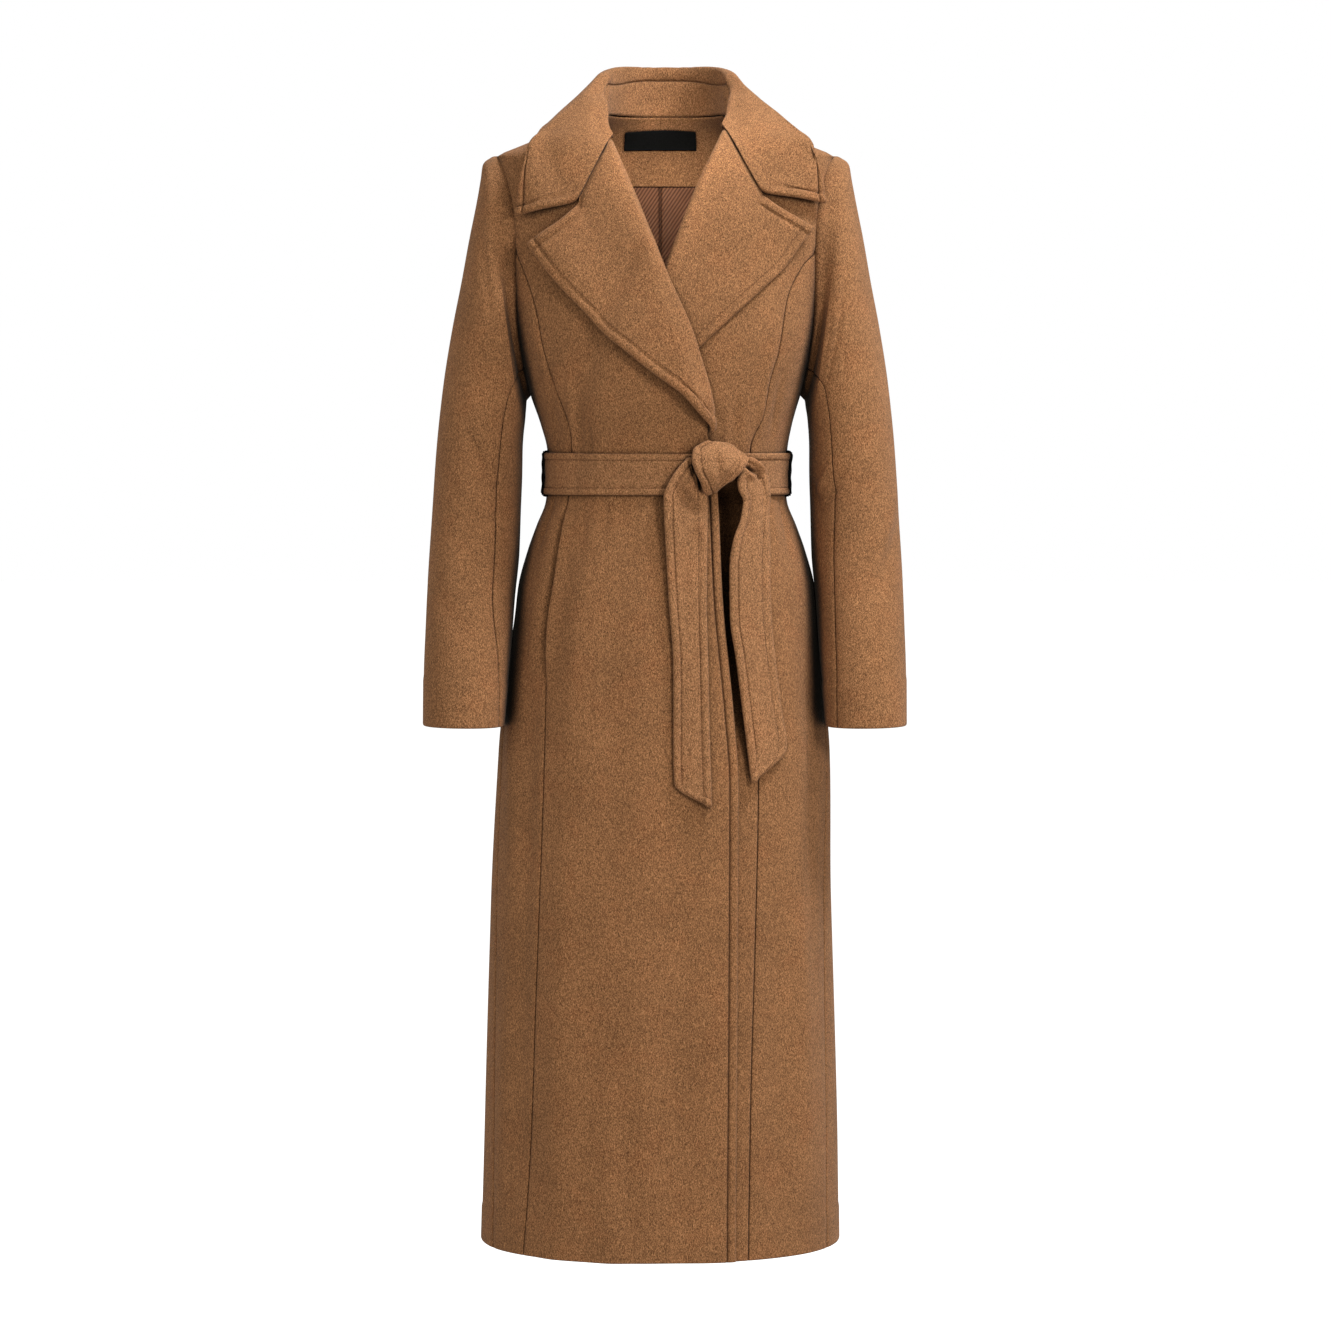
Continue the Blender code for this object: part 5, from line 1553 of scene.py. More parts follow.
def collar_rib(table, along, side, stand, fall):
    """Points of one cut across the collar: up the stand, over the fold and down to the edge."""
    read = {name: float(table(along, name)) for name in COLLAR_COLUMNS.split()[1:]}
    neck_turn, neck_z = math.radians(read["neck_turn"]), read["neck_z"]
    neck = section_point(side * neck_turn, neck_z + GAP)
    rise = np.array([-side * read["rise_in"], read["rise_y"], read["rise_z"]])
    height = np.linalg.norm(rise)
    inward = skin(side * neck_turn, neck_z, -1.0) - section_point(side * neck_turn, neck_z)
    inward[2] = 0.0
    across = STAND_FOLD * unit(inward)
    fold_drop = min(FOLD_DROP, FOLD_DROP_SHARE * height)
    climb = stand[:-2] - STAND_TUCK * (1.0 - stand[:-2])
    lean = STAND_LEAN + (1.0 - STAND_LEAN) * smoothstep((climb / climb[-1] - 0.6) / 0.4)
    points = neck + across * lean[:, None] + rise * (climb * (1 - fold_drop / height))[:, None]
    top = neck + rise
    bend = np.array([top + across - np.array([0, 0, fold_drop * 0.55]), top + 0.35 * across])
    knots = np.radians([read["neck_turn"], read["knee_turn"], read["edge_turn"]])
    levels = [neck_z, read["knee_z"], read["edge_z"]]
    turn = np.interp(fall, (0.0, KNEE_SHARE, 1.0), knots)
    level = np.interp(fall, (0.0, KNEE_SHARE, 1.0), levels)
    straight = smoothstep(1.0 - along / GORGE_REACH)
    if straight > 0.0:
        places = section_point(knots, np.array(levels))[:, 0]
        x = np.interp(fall, (0.0, KNEE_SHARE, 1.0), places)
        turn = turn + (turn_at(x, level) - turn) * straight
    turn = side * turn
    bow = COLLAR_BOW * np.sin(math.pi * fall) * min(1.0, height / BOW_HEIGHT)
    spring = COLLAR_SPRING * min(1.0, height / SPRING_HEIGHT) * smoothstep(along / 0.10)
    start = smoothstep(fall / 0.12)
    tip = TIP_SPRING * smoothstep((fall - 0.40) / 0.40) * smoothstep(1.0 - along / 0.45)
    base = skin(turn, level, (LAYER + spring) * start + bow + tip)
    fall_points = base + rise * ((1.0 - fall) ** FALL_POWER)[:, None]
    return np.vstack([points, bend, fall_points[1:]])


class COAT_OT_collar(bpy.types.Operator):
    """Make the collar: stand and fall in one folded sheet"""

    bl_idname = "wrap_coat.collar"
    bl_label = "Collar"

    def execute(self, context):
        piece = make_collar("coat_collar")
        finish(piece, coat_wool(context.scene.wrap_coat), ("collar",))
        return {"FINISHED"}


def neck_sheet(name, rows, reach, wall, relief_at):
    """Sheet inside the back of the neck, between two turns that are equal on both sides."""
    half_turn = np.radians(reach(rows, "turn"))
    ends = np.array([0.0, 0.002, 0.006, 0.012])
    beside_pleat = np.arange(0.499, 0.528, 0.0016)
    across = np.concatenate([ends, np.linspace(0.02, 0.98, 120), 1.0 - ends, beside_pleat])
    across = np.sort(across)
    turn = math.pi - half_turn[:, None] + 2 * half_turn[:, None] * across
    z = np.repeat(rows[:, None], turn.shape[1], axis=1)
    # the side that shows is the inner one, so the relief moves that side
    outer = skin(turn, z, -INSIDE_LAYER)
    inner = outer - skin_normal(turn, z) * (wall + relief_at(outer[..., 0], z))[..., None]
    width = 2 * half_turn[:, None] * NECK_RADIUS
    borders = (across * width, (1.0 - across) * width, z - rows[0], rows[-1] - z)
    thick = edge_field([(away, "plain", 0.0) for away in borders], z.shape)[1]
    middle, half = (outer + inner) / 2, (outer - inner) / 2 * thick[..., None]
    return shell_object(name, middle + half, middle - half)


class COAT_OT_neck_inside(bpy.types.Operator):
    """Make what shows inside the neck: facing, lining and the bare label"""

    bl_idname = "wrap_coat.neck_inside"
    bl_label = "Inside of the neck"

    def execute(self, context):
        settings = context.scene.wrap_coat
        rows = row_levels(FACING_END_Z, FACING_TOP_Z, 0.004)
        facing = neck_sheet("coat_back_neck_facing", rows, FACING_REACH, WALL, facing_relief)
        finish(facing, coat_wool(settings), ("back_neck_facing",))
        rows = row_levels(LINING_END_Z, FACING_END_Z - LINING_GAP, 0.0045)
        lining = neck_sheet("coat_back_lining", rows, LINING_REACH, LINING_WALL, lining_relief)
        material = lining_material("twill_lining", settings.lining_colour)
        finish(lining, material, ("back_lining",))
        label = make_label("coat_neck_label", settings.label_width, settings.label_height)
        material = woven_material("label_cloth", settings.label_colour, 0.75, 900.0)
        finish(label, material, ("neck_label",))
        return {"FINISHED"}


def facing_relief(x, z):
    """The facing's lower edge is slightly thicker."""
    return 0.0006 * bell(z - FACING_END_Z, 0.004)


def lining_relief(x, z):
    """Pleat down the middle of the lining, and its soft pulls to both sides."""
    beside = x + 0.0055
    pleat = 0.0042 * smoothstep(beside / 0.0018) * np.exp(-np.maximum(beside, 0.0) / 0.018)
    pleat = pleat - 0.005 * bell(beside + 0.0006, 0.0009)
    return pleat + crease_field(LINING_PULLS, x, z)


def make_label(name, width, height):
    """Bare woven label with turned-in ends."""
    across = np.concatenate([[0.0, 0.004, 0.012], np.linspace(0.03, 0.97, 30), [0.988, 0.996, 1.0]])
    up = np.concatenate([[0.0, 0.015, 0.05], np.linspace(0.12, 0.88, 8), [0.95, 0.985, 1.0]])
    x = LABEL_CENTRE[0] + width * (0.5 - across)
    z = LABEL_CENTRE[1] + height * (up - 0.5)
    x, z = np.meshgrid(x, z)
    turn = math.pi - turn_at(x, z)
    face = skin(turn, z, -(INSIDE_LAYER + LAYER + LABEL_WALL))
    away_x = np.minimum(across, 1.0 - across)[None] * width * np.ones(z.shape)
    away_z = np.minimum(up, 1.0 - up)[:, None] * height * np.ones(z.shape)
    thick = rounded(away_x, 0.0005) * rounded(away_z, 0.0005)
    normal = skin_normal(turn, z)
    turned = 0.0003 * bell(away_x, 0.004)
    middle = face + normal * (-LABEL_WALL / 2 - turned)[..., None]
    half = normal * (LABEL_WALL / 2 * thick + turned * thick)[..., None]
    return shell_object(name, middle + half, middle - half)


# ---------------------------------------------------------------- sleeves
def armhole_point(side, angle, away):
    """Point beside the armhole seam: angle 0 is the shoulder tip, 90 degrees the front."""
    z = UNDERARM_Z / 2 * (1 - np.cos(angle))
    turn = armhole_turn(z)
    turn = np.where(np.sin(angle) < 0, math.pi - turn, turn)
    turn = np.where(np.abs(np.sin(angle)) < 1e-9, math.pi / 2, turn)
    low = smoothstep((1 - np.cos(angle)) / 2)[..., None]
    down_out = np.array([side * SHOULDER_SLOPE[0], 0.0, SHOULDER_SLOPE[1]])
    toward = down_out * (1 - low) + np.array([side, 0.0, 0.05]) * low
    return section_point(side * turn, z) + toward * away


def sleeve_section(side, along, angle):
    """Points of one oval section of the sleeve: angle 0 is its outer line, 90 degrees the front."""
    read = {name: float(SLEEVE(along, name)) for name in SLEEVE.names[1:]}
    outer = np.array([side * read["outer_x"], read["centre_y"], read["outer_z"]])
    inner = np.array([side * read["inner_x"], read["centre_y"], read["inner_z"]])
    middle, half = (outer + inner) / 2, (outer - inner) / 2
    cosine, sine = np.cos(angle), np.sin(angle)
    long_way = (np.sign(cosine) * np.abs(cosine) ** SLEEVE_OVALNESS)[..., None] * half
    depth_way = (np.sign(sine) * np.abs(sine) ** SLEEVE_OVALNESS * read["half_depth"])[..., None]
    lean = np.array([LEFT_SLEEVE_LEAN * (1.0 - 1.5 * along) * (side > 0), 0.0, 0.0])
    return middle + lean + long_way + depth_way * np.array([0.0, -1.0, 0.0])


def sleeve_ring(side, along, angle):
    """Points round the sleeve, which starts on the armhole and takes its own section lower down."""
    shift = armhole_point(side, angle, SLEEVE_HEAD_REACH) - sleeve_section(side, 0.0, angle)
    blend = max(0.0, 1.0 - max(along, SLEEVE_FIRST) / SLEEVE_HEAD_END) ** 2
    ring = sleeve_section(side, max(along, SLEEVE_FIRST), angle) + shift * blend
    if along >= SLEEVE_FIRST:
        return ring
    start = armhole_point(side, angle, SLEEVE_TUCK)
    part = along / SLEEVE_FIRST
    return start + (ring - start) * part


def make_sleeve_piece(name, side, start_name, end_name):
    """Upper or under sleeve, between two of the sleeve's seams and from cuff to armhole."""
    length = SLEEVE_LENGTH
    even = np.linspace(0.036, 1.0 - 0.0075 / length, 130)
    rings = np.concatenate([HEAD_STEPS / length, even, 1.0 - PLAIN_STEPS[::-1] / length])[::-1]
    sweeps = []
    share = np.linspace(0.0, 1.0, 90)
    for along in rings:
        start = math.radians(float(SLEEVE_SEAMS(along, start_name)))
        end = math.radians(float(SLEEVE_SEAMS(along, end_name)))
        if end < start:
            end += 2 * math.pi
        inside = end - start - 2 * SLEEVE_SEAM_INSET
        sweeps.append(start + SLEEVE_SEAM_INSET + inside * share)
    runs = [sleeve_ring(side, along, sweep) for along, sweep in zip(rings, sweeps)]
    runs = row_lengths(np.array(runs))
    width = runs[:, -1]
    ones = np.ones(len(rings))
    away = border_columns(width, SEAM_STEPS, SEAM_STEPS, ones, ones, CLOTH_SPACING)
    angle = np.array([np.interp(a, run, sweep) for a, run, sweep in zip(away, runs, sweeps)])
    face = np.array([sleeve_ring(side, along, row) for along, row in zip(rings, angle)])
    along = np.repeat(rings[:, None], face.shape[1], axis=1)
    from_head, from_cuff = along * length, (1.0 - along) * length
    creases = []
    for angle0, along0, angle1, along1, *form in SLEEVE_CREASES["left" if side > 0 else "right"]:
        first = math.radians(angle0) * SLEEVE_RADIUS, along0 * length
        last = math.radians(angle1) * SLEEVE_RADIUS, along1 * length
        creases.append((*first, *last, *form))
    round_length = 2 * math.pi * SLEEVE_RADIUS
    relief = crease_field(creases, angle * SLEEVE_RADIUS, from_head, round_length)
    head_half = smoothstep((np.cos(angle) + 0.6) / 0.8)
    low_half = smoothstep((0.1 - np.cos(angle)) / 0.6) * smoothstep((np.cos(angle) + 1.0) / 0.15)
    relief += 0.0016 * bell(from_head - 0.009, 0.007) * head_half
    relief += 0.004 * bell(from_head - 0.016, 0.009) * low_half
    relief += turned_up(from_cuff, *CUFF_FOLD)
    edges = [
        (away, "seam", 1.0),
        (width[:, None] - away, "seam", 1.0),
        (from_head, "seam", ARMHOLE_SHARE),
        (from_cuff, "plain", 0.0),
    ]
    return cloth_sheet(name, face, edges, relief, flip=side > 0)[0]


class COAT_OT_sleeves(bpy.types.Operator):
    """Make both two-piece sleeves"""

    bl_idname = "wrap_coat.sleeves"
    bl_label = "Sleeves"

    def execute(self, context):
        wool = coat_wool(context.scene.wrap_coat)
        for side, word in ((-1, "right"), (+1, "left")):
            front = word + "_front"
            piece = make_sleeve_piece("coat_upper_sleeve_" + word, side, "back", front)
            finish(piece, wool, ("upper_sleeve_" + word,))
            piece = make_sleeve_piece("coat_under_sleeve_" + word, side, front, "back")
            finish(piece, wool, ("under_sleeve_" + word,))
        return {"FINISHED"}


# ---------------------------------------------------------------- belt
def belt_profile(away):
    """Cross-section of the belt's edge."""
    return puffed_edge(away, BELT_STITCH_IN, BELT_PUFF, BELT_GROOVE)


def tail_profile(away):
    """Cross-section of a hanging end's edge."""
    return puffed_edge(away, TAIL_STITCH_IN, TAIL_PUFF, TAIL_GROOVE)


def belt_out(turn, z):
    """Height of the belt's outer face over the coat's surface."""
    x = section_point(turn, z)[..., 0]
    covered = smoothstep((RIGHT_EDGE(z, "x") - x) / BELT_STEP + 1.0) * (np.cos(turn) > 0)
    return front_lift(x, z) * covered + BELT_GAP + BELT_WALL


def belt_sheet(name, face, raised, relief, borders):
    """Belt cloth: two layers sewn along both edges, with rounded sides."""
    thick = 1.0
    for away in borders:
        thick = thick * rounded(away, BELT_EDGE_RADIUS)
    return thick_sheet(name, face, relief + raised, relief - BELT_WALL, thick)


def belt_across(width, stitch_in, count=9):
    """Distances across the belt with fine steps at both edges and their stitch rows."""
    near = np.array([0.0, 0.0003, 0.0008, 0.0015, 0.0024, 0.0036, 0.005, 0.0064])
    near = np.concatenate([near, stitch_in + np.array([-0.0005, 0.0, 0.0005, 0.0014])])
    middle = np.linspace(near[-1], width - near[-1], count)[1:-1]
    return np.concatenate([near, middle, (width - near)[::-1]])


def make_belt_band(name):
    """The belt round the waist, from one side of the knot to the other."""
    half = BELT_WIDTH / 2
    start = float(turn_at(BELT_START_X, BELT_Z))
    end = float(turn_at(BELT_END_X, BELT_Z)) + 2 * math.pi
    near_end = np.array([0.002, 0.006, 0.012])
    turn = np.concatenate([np.linspace(start, end, 190), start + near_end, end - near_end])
    across = belt_across(BELT_WIDTH, BELT_STITCH_IN)
    turn, level = np.meshgrid(np.sort(turn), BELT_Z - half + across)
    face = skin(turn, level, belt_out(turn, level))
    low = level - (BELT_Z - half)
    high = BELT_WIDTH - low
    arc, round_length = turn * BELT_RADIUS, 2 * math.pi * BELT_RADIUS
    relief = crease_field(BELT_CREASES, arc, level, round_length)
    borders = low, high, (turn - start) * BELT_END_RADIUS, (end - turn) * BELT_END_RADIUS
    raised = belt_profile(low) + belt_profile(high)
    piece, outer, normal = belt_sheet(name, face, raised, relief, borders)
    for line in (BELT_STITCH_LINE, -1 - BELT_STITCH_LINE):
        keep_stitches(outer[line], normal[line])
    return piece


def make_tail(name, table, creases):
    """Hanging end of the belt, with a stitched border along both edges and its slanted point."""
    top, end = table.keys[-1], table.keys[0]
    fine_end = top - TAIL_FINE_LENGTH
    z = row_levels(end, fine_end, 0.004, WELT_STEPS, PLAIN_STEPS[:1])
    z = np.concatenate([z[:-1], np.linspace(fine_end, top - 0.002, 62), [top - 0.001, top]])
    left, right = table(z, "left"), table(z, "right")
    width = (right - left)[:, None]
    share = belt_across(TAIL_WIDTH, TAIL_STITCH_IN, 20) / TAIL_WIDTH
    x = left[:, None] + width * share
    level = np.repeat(z[:, None], len(share), axis=1)
    left_out, right_out = table(z, "left_out")[:, None], table(z, "right_out")[:, None]
    out = left_out + (right_out - left_out) * share + TAIL_CROWN * np.sin(math.pi * share)
    face = skin(turn_at(x, level), level, out)
    from_left = share * width / np.sqrt(1 + np.gradient(left, z) ** 2)[:, None]
    from_right = (1 - share) * width / np.sqrt(1 + np.gradient(right, z) ** 2)[:, None]
    relief = crease_field(creases, x, level)
    raised = tail_profile(from_left) + tail_profile(from_right)
    borders = from_left, from_right, top - level, level - end
    piece, outer, normal = belt_sheet(name, face, raised, relief, borders)
    line = BELT_STITCH_LINE
    for line, from_other in ((line, from_right), (-1 - line, from_left)):
        keep = (from_other[:, line] > TAIL_STITCH_IN * 0.9) & (z < top - 0.03)
        keep_stitches(outer[:, line], normal[:, line], keep)
    return piece


def make_knot_wrap(name):
    """The turn of the belt that wraps the knot."""
    along = np.concatenate([[0.0, 0.01], np.linspace(0.025, 0.975, 62), [0.99, 1.0]])[::-1]
    across = belt_across(WRAP_WIDTH, TAIL_STITCH_IN, 26) / WRAP_WIDTH
    read = {key: KNOT_WRAP(along, key)[:, None] for key in KNOT_WRAP.names[1:]}
    x = read["left"] + (read["right"] - read["left"]) * across
    z = read["left_z"] + (read["right_z"] - read["left_z"]) * across
    z = z + KNOT_DOME * np.sin(math.pi * across**0.9) * (1.0 - along[:, None]) ** 1.6
    out = read["out"] + KNOT_CROWN * (np.sin(math.pi * across) - 0.5)
    face = skin(turn_at(x, z), z, out)
    width = np.linalg.norm(face[:, -1] - face[:, 0], axis=-1)[:, None]
    from_left, from_right = across * width, (1 - across) * width
    from_end = np.repeat(along[:, None], len(across), axis=1) * WRAP_LENGTH
    relief = crease_field(WRAP_CREASES, x, z)
    raised = 1.7 * tail_profile(from_left) + 0.7 * tail_profile(from_right)
    borders = from_left, from_right, from_end, WRAP_LENGTH - from_end
    piece, outer, normal = belt_sheet(name, face, raised, relief, borders)
    for line in (BELT_STITCH_LINE, -1 - BELT_STITCH_LINE):
        keep_stitches(outer[:, line], normal[:, line], (along > 0.08) & (along < 0.9))
    return piece


def make_knot_core(name):
    """The bunched cloth inside the knot: a flattened, slightly lumpy ball."""
    rings, sides = 28, 44
    wide, deep, high = KNOT_CORE_SIZE
    up = np.linspace(0.0, math.pi, rings + 1)[1:-1]
    around = np.linspace(0.0, 2 * math.pi, sides, endpoint=False)
    up, around = np.meshgrid(up, around, indexing="ij")
    size = (1.0 + 0.05 * np.sin(3 * around + 5 * up) * np.sin(up)) * np.sin(up)
    oval = [np.cos(around) * size * wide, np.sin(around) * size * deep, np.cos(up) * high]
    ball = np.stack(oval, -1)
    x, z, out = KNOT_CORE
    centre = skin(turn_at(x, z), z, np.asarray(out))
    cosine, sine = math.cos(KNOT_LEAN), math.sin(KNOT_LEAN)
    turned = np.array([[cosine, -sine, 0], [sine, cosine, 0], [0, 0, 1]])
    points = np.vstack([ball.reshape(-1, 3), [[0, 0, high], [0, 0, -high]]]) @ turned.T + centre
    number = np.arange((rings - 1) * sides).reshape(rings - 1, sides)
    top, bottom = number.size, number.size + 1
    ones, twos = np.arange(sides), np.roll(np.arange(sides), -1)
    faces = []
    for near, far in zip(number[:-1], number[1:]):
        for one, two in zip(ones, twos):
            faces += [(near[one], far[one], far[two]), (near[one], far[two], near[two])]
    for one, two in zip(ones, twos):
        faces += [(top, number[0][one], number[0][two]), (bottom, number[-1][two], number[-1][one])]
    return mesh_object(name, points, np.array(faces))


class COAT_OT_belt(bpy.types.Operator):
    """Make the belt, its knot and its two hanging ends"""

    bl_idname = "wrap_coat.belt"
    bl_label = "Belt"

    def execute(self, context):
        settings = context.scene.wrap_coat
        # the belt uses the lighter copy of the coat's wool: painted light
        wool = shared_wool("belt_cloth_painted_lighter", settings.belt_lit_colour, settings.nap)
        band = make_belt_band("coat_belt_band")
        finish(band, wool, ("belt_band",))
        tail = make_tail("coat_belt_tail_right", RIGHT_TAIL, RIGHT_TAIL_CREASES)
        finish(tail, wool, ("belt_tail_right",))
        tail = make_tail("coat_belt_tail_left", LEFT_TAIL, LEFT_TAIL_CREASES)
        finish(tail, wool, ("belt_tail_left",))
        wrap = make_knot_wrap("coat_belt_knot_wrap")
        finish(wrap, wool, ("belt_knot_wrap",))
        core = make_knot_core("coat_belt_knot_core")
        finish(core, wool, ("belt_knot_core",))
        return {"FINISHED"}


class COAT_OT_stitching(bpy.types.Operator):
    """Sew the rows of stitches that the other pieces have asked for"""

    bl_idname = "wrap_coat.stitching"
    bl_label = "Edge stitching"

    def execute(self, context):
        if not STITCH_RUNS:
            raise RuntimeError("make the cloth pieces first: they say where their stitches go")
        settings = context.scene.wrap_coat
        size = (settings.stitch_length, settings.stitch_thickness, settings.stitch_thickness)
        piece = stitches_mesh("coat_edge_stitching", STITCH_RUNS, settings.stitch_pitch, size)
        material = woven_material("seam_thread", settings.thread_colour, 0.7, 1800.0)
        finish(piece, material)
        STITCH_RUNS.clear()
        return {"FINISHED"}


def make_loop(name, side, strand_size):
    """Thread loop of the belt: four twisted strands side by side, close over the belt."""
    count, sides = 90, 7
    path = np.array(LOOP_PATH)
    share = np.linspace(0, len(path) - 1, count)
    rise = np.interp(share, np.arange(len(path)), path[:, 0])
    out = np.interp(share, np.arange(len(path)), path[:, 1])
    turn = np.full(count, side * math.radians(LOOP_TURN))
    centre = skin(turn, BELT_Z + rise, out)
    tangent = unit(np.gradient(centre, axis=0))
    beside = unit(np.cross(tangent, skin_normal(turn, BELT_Z + rise)))
    upward = np.cross(beside, tangent)
    points, faces, first = [], [], 0
    angle = np.linspace(0, 2 * math.pi, sides, endpoint=False)
    cosine, sine = np.cos(angle)[None, :, None], np.sin(angle)[None, :, None]
    ring = cosine * beside[:, None] + sine * upward[:, None]
    for strand in range(LOOP_STRANDS):
        twist = np.linspace(0, 2 * LOOP_TURNS * math.pi, count) + 0.9 * strand
        place = strand_size * LOOP_SPREAD * (strand - (LOOP_STRANDS - 1) / 2)
        shift, lift = place + LOOP_TWIST * np.cos(twist), LOOP_TWIST * np.sin(twist)
        middle = centre + beside * shift[:, None] + upward * lift[:, None]
        block = (middle[:, None] + strand_size * ring).reshape(-1, 3)
        points += [block, middle[:1], middle[-1:]]
        number = first + np.arange(count * sides).reshape(count, sides)
        start, end = first + count * sides, first + count * sides + 1
        for one in range(sides):
            two = (one + 1) % sides
            for low, high in zip(number[:-1], number[1:]):
                faces += [(low[one], low[two], high[two]), (low[one], high[two], high[one])]
            near, far = number[0], number[-1]
            faces += [(start, near[two], near[one]), (end, far[one], far[two])]
        first += count * sides + 2
    return mesh_object(name, np.vstack(points), np.array(faces))


class COAT_OT_loops(bpy.types.Operator):
    """Make the thread loops that hold the belt at the side seams"""

    bl_idname = "wrap_coat.loops"
    bl_label = "Belt loops"

    def execute(self, context):
        settings = context.scene.wrap_coat
        # the loops' near-black thread is partly painted shade
        thread = woven_material("loop_thread_and_painted_shade", settings.loop_thread_and_shade_colour, 0.95, 2200.0)
        for side, word in ((-1, "right"), (+1, "left")):
            piece = make_loop("coat_belt_loop_" + word, side, settings.loop_strand)
            finish(piece, thread, ("belt_loop_" + word,))
        return {"FINISHED"}


FLOOR_SIZE = 30.0
COOL, PLAIN = (0.94, 1.0, 1.10), (1.0, 1.0, 1.0)
LAMPS = (
    # name, place, what it shines at, size, power, colour
    ("key_light", (1.25, -0.6, 1.9), (0.02, 0.0, -0.2), 0.55, 70.0, COOL),
    ("front_light", (1.7, -2.4, 0.40), (0.0, 0.0, -0.45), 0.6, 37.0, PLAIN),
    ("side_light", (-2.2, -2.2, 0.6), (0.0, 0.0, -0.35), 1.2, 12.0, PLAIN),
)
CAMERA_PLACE = (0.0, -4.6, -0.291)
CAMERA_DIP = 0.275
SENSOR_WIDTH = 36.0
LENS_REACH = 4115.0 / 1331.0


def place_light(data, place, target):
    """Puts a lamp in the scene, turned to its target."""
    light = bpy.data.objects.new(data.name, data)
    bpy.context.scene.collection.objects.link(light)
    light.location = place
    way = np.array(target) - np.array(place)
    yaw = math.atan2(way[0], -way[1])
    pitch = math.atan2(math.hypot(way[0], way[1]), -way[2])
    light.rotation_euler = (pitch, 0.0, math.pi + yaw)


def studio_world(strength):
    """White studio whose walls light the coat less than they show."""
    world = bpy.data.worlds.new("studio_world")
    world.use_nodes = True
    tree = world.node_tree
    shown = tree.nodes["Background"]
    shown.inputs["Color"].default_value = (1.0, 1.0, 1.0, 1.0)
    shown.inputs["Strength"].default_value = 1.0
    soft = {"Color": (1.0, 0.98, 0.94, 1.0), "Strength": strength}
    lighting = node(tree, "ShaderNodeBackground", soft)
    ray = node(tree, "ShaderNodeLightPath").outputs["Is Camera Ray"]
    shaders = {0: ray, 1: lighting.outputs["Background"], 2: shown.outputs["Background"]}
    both = node(tree, "ShaderNodeMixShader", shaders)
    tree.links.new(both.outputs["Shader"], tree.nodes["World Output"].inputs["Surface"])
    return world


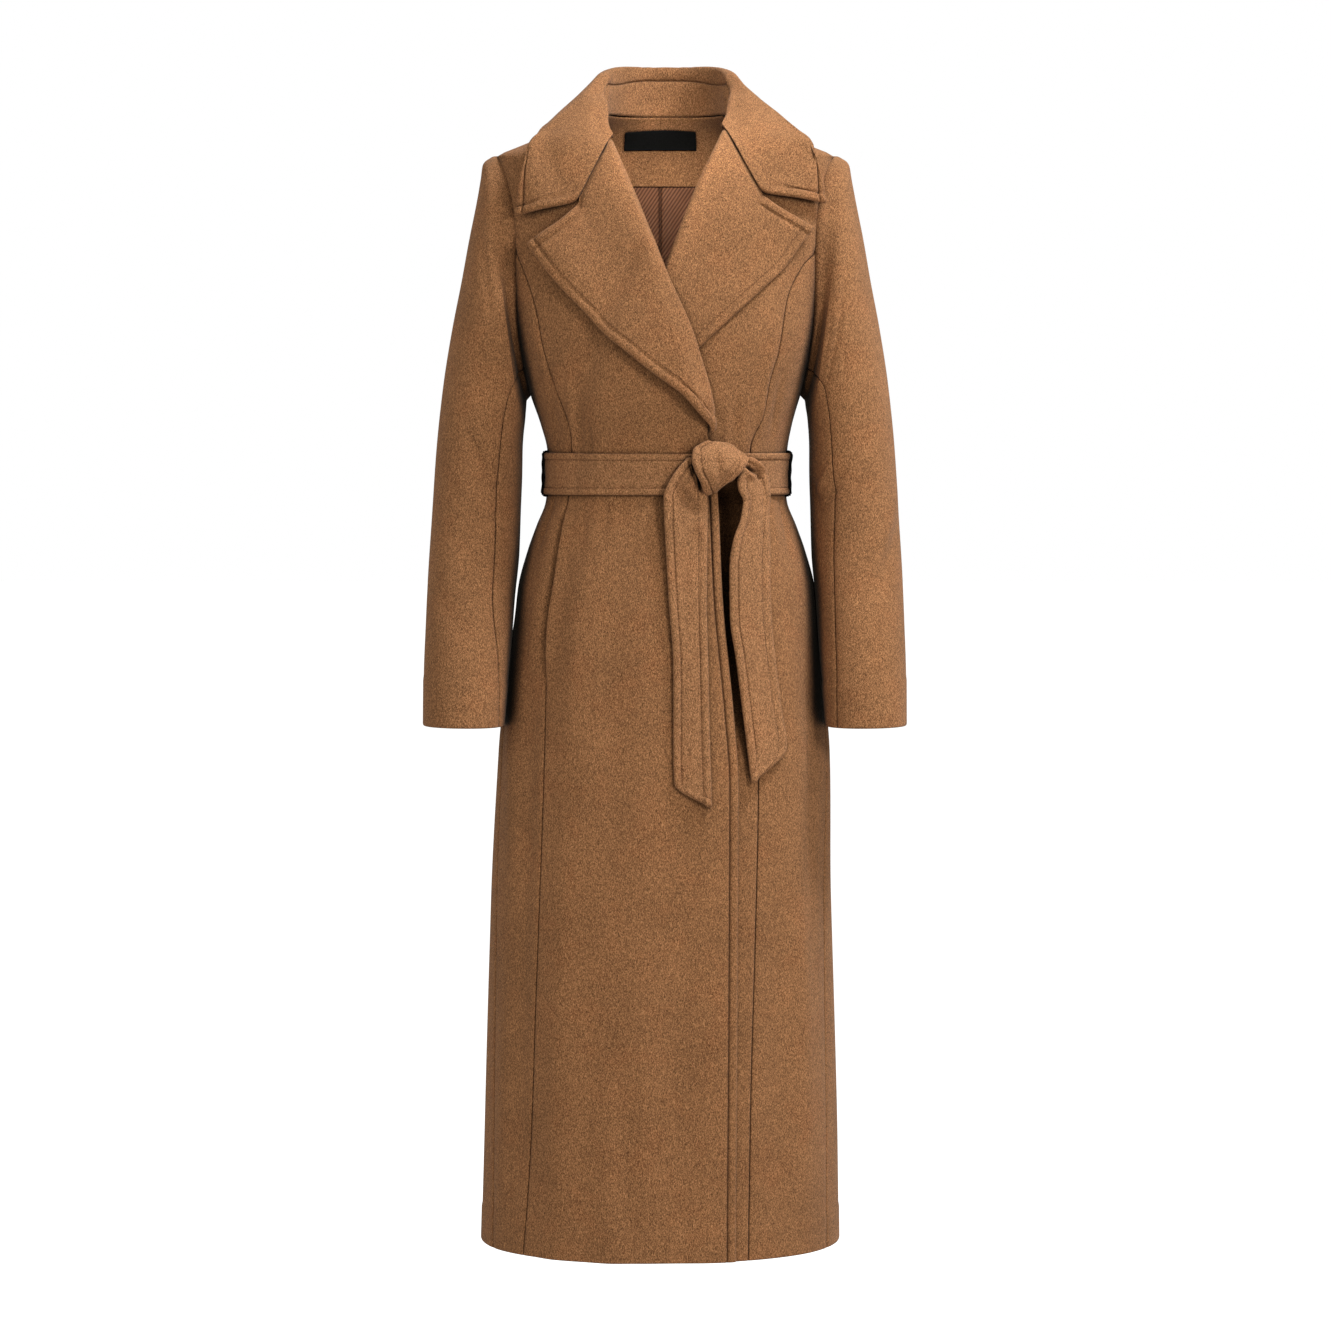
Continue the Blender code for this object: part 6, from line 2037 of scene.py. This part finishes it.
class COAT_OT_stage(bpy.types.Operator):
    """Make the floor, the lights and the camera"""

    bl_idname = "wrap_coat.stage"
    bl_label = "Stage"

    def execute(self, context):
        scene = context.scene
        settings = scene.wrap_coat
        corners = np.array([(-1, -1, 0), (1, -1, 0), (1, 1, 0), (-1, 1, 0)]) * FLOOR_SIZE
        corners = corners + (0.0, 0.0, HEM_Z - settings.floor_drop)
        floor = mesh_object("studio_floor", corners, np.array([(0, 1, 2, 3)]))
        material, tree, shader = bare_material("pale_floor", 0.9)
        grain = noise(tree, node(tree, "ShaderNodeTexCoord").outputs["Object"], 3.0)
        tone = ramp(tree, grain, (0.3, (0.93, 0.93, 0.93)), (0.7, (0.95, 0.95, 0.95)))
        tree.links.new(tone, shader.inputs["Base Color"])
        shader.inputs["Emission Color"].default_value = (1.0, 1.0, 1.0, 1.0)
        shader.inputs["Emission Strength"].default_value = 0.62
        floor.data.materials.append(material)
        floor.visible_diffuse = False
        floor.visible_glossy = False
        scene.world = studio_world(settings.room_light)
        for name, place, target, size, power, colour in LAMPS:
            lamp = bpy.data.lights.new(name, "AREA")
            lamp.color = colour
            lamp.shape = "DISK"
            lamp.size = size
            lamp.energy = power * settings.key_light
            place_light(lamp, place, target)
        spot = bpy.data.lights.new("neck_light", "SPOT")
        spot.energy = 140.0 * settings.key_light
        spot.spot_size = math.radians(6.0)
        spot.spot_blend = 0.7
        spot.shadow_soft_size = 0.06
        place_light(spot, (0.10, -1.5, 0.30), (0.0, 0.07, -0.018))
        camera = bpy.data.objects.new("camera", bpy.data.cameras.new("camera"))
        scene.collection.objects.link(camera)
        camera.data.sensor_width = SENSOR_WIDTH
        camera.data.lens = SENSOR_WIDTH * LENS_REACH
        camera.data.clip_end = 100.0
        camera.location = CAMERA_PLACE
        camera.rotation_euler = (math.pi / 2 - math.atan2(CAMERA_DIP, -CAMERA_PLACE[1]), 0.0, 0.0)
        scene.camera = camera
        scene.view_settings.view_transform = "Standard"
        return {"FINISHED"}


class COAT_PT_pieces(bpy.types.Panel):
    """Pieces, sizes and colours of the coat"""

    bl_idname = "COAT_PT_pieces"
    bl_label = "Wool Wrap Coat"
    bl_space_type = "VIEW_3D"
    bl_region_type = "UI"
    bl_category = "Coat"

    def draw(self, context):
        settings = context.scene.wrap_coat
        for name in CoatSettings.__annotations__:
            self.layout.prop(settings, name)
        for operator in OPERATORS:
            self.layout.operator(operator.bl_idname)


OPERATORS = (
    COAT_OT_fronts,
    COAT_OT_sides,
    COAT_OT_backs,
    COAT_OT_lapels,
    COAT_OT_collar,
    COAT_OT_neck_inside,
    COAT_OT_sleeves,
    COAT_OT_belt,
    COAT_OT_loops,
    COAT_OT_stitching,
    COAT_OT_stage,
)
CLASSES = (CoatSettings, *OPERATORS, COAT_PT_pieces)


def register():
    """Adds the settings, the operators and the panel."""
    for each in CLASSES:
        bpy.utils.register_class(each)
    bpy.types.Scene.wrap_coat = bpy.props.PointerProperty(type=CoatSettings)


def unregister():
    """Takes them out again."""
    del bpy.types.Scene.wrap_coat
    for each in reversed(CLASSES):
        bpy.utils.unregister_class(each)


def main():
    """Makes every piece in order."""
    register()
    bpy.ops.wrap_coat.fronts()
    bpy.ops.wrap_coat.sides()
    bpy.ops.wrap_coat.backs()
    bpy.ops.wrap_coat.lapels()
    bpy.ops.wrap_coat.collar()
    bpy.ops.wrap_coat.neck_inside()
    bpy.ops.wrap_coat.sleeves()
    bpy.ops.wrap_coat.belt()
    bpy.ops.wrap_coat.loops()
    bpy.ops.wrap_coat.stitching()
    bpy.ops.wrap_coat.stage()


if __name__ == "__main__":
    main()
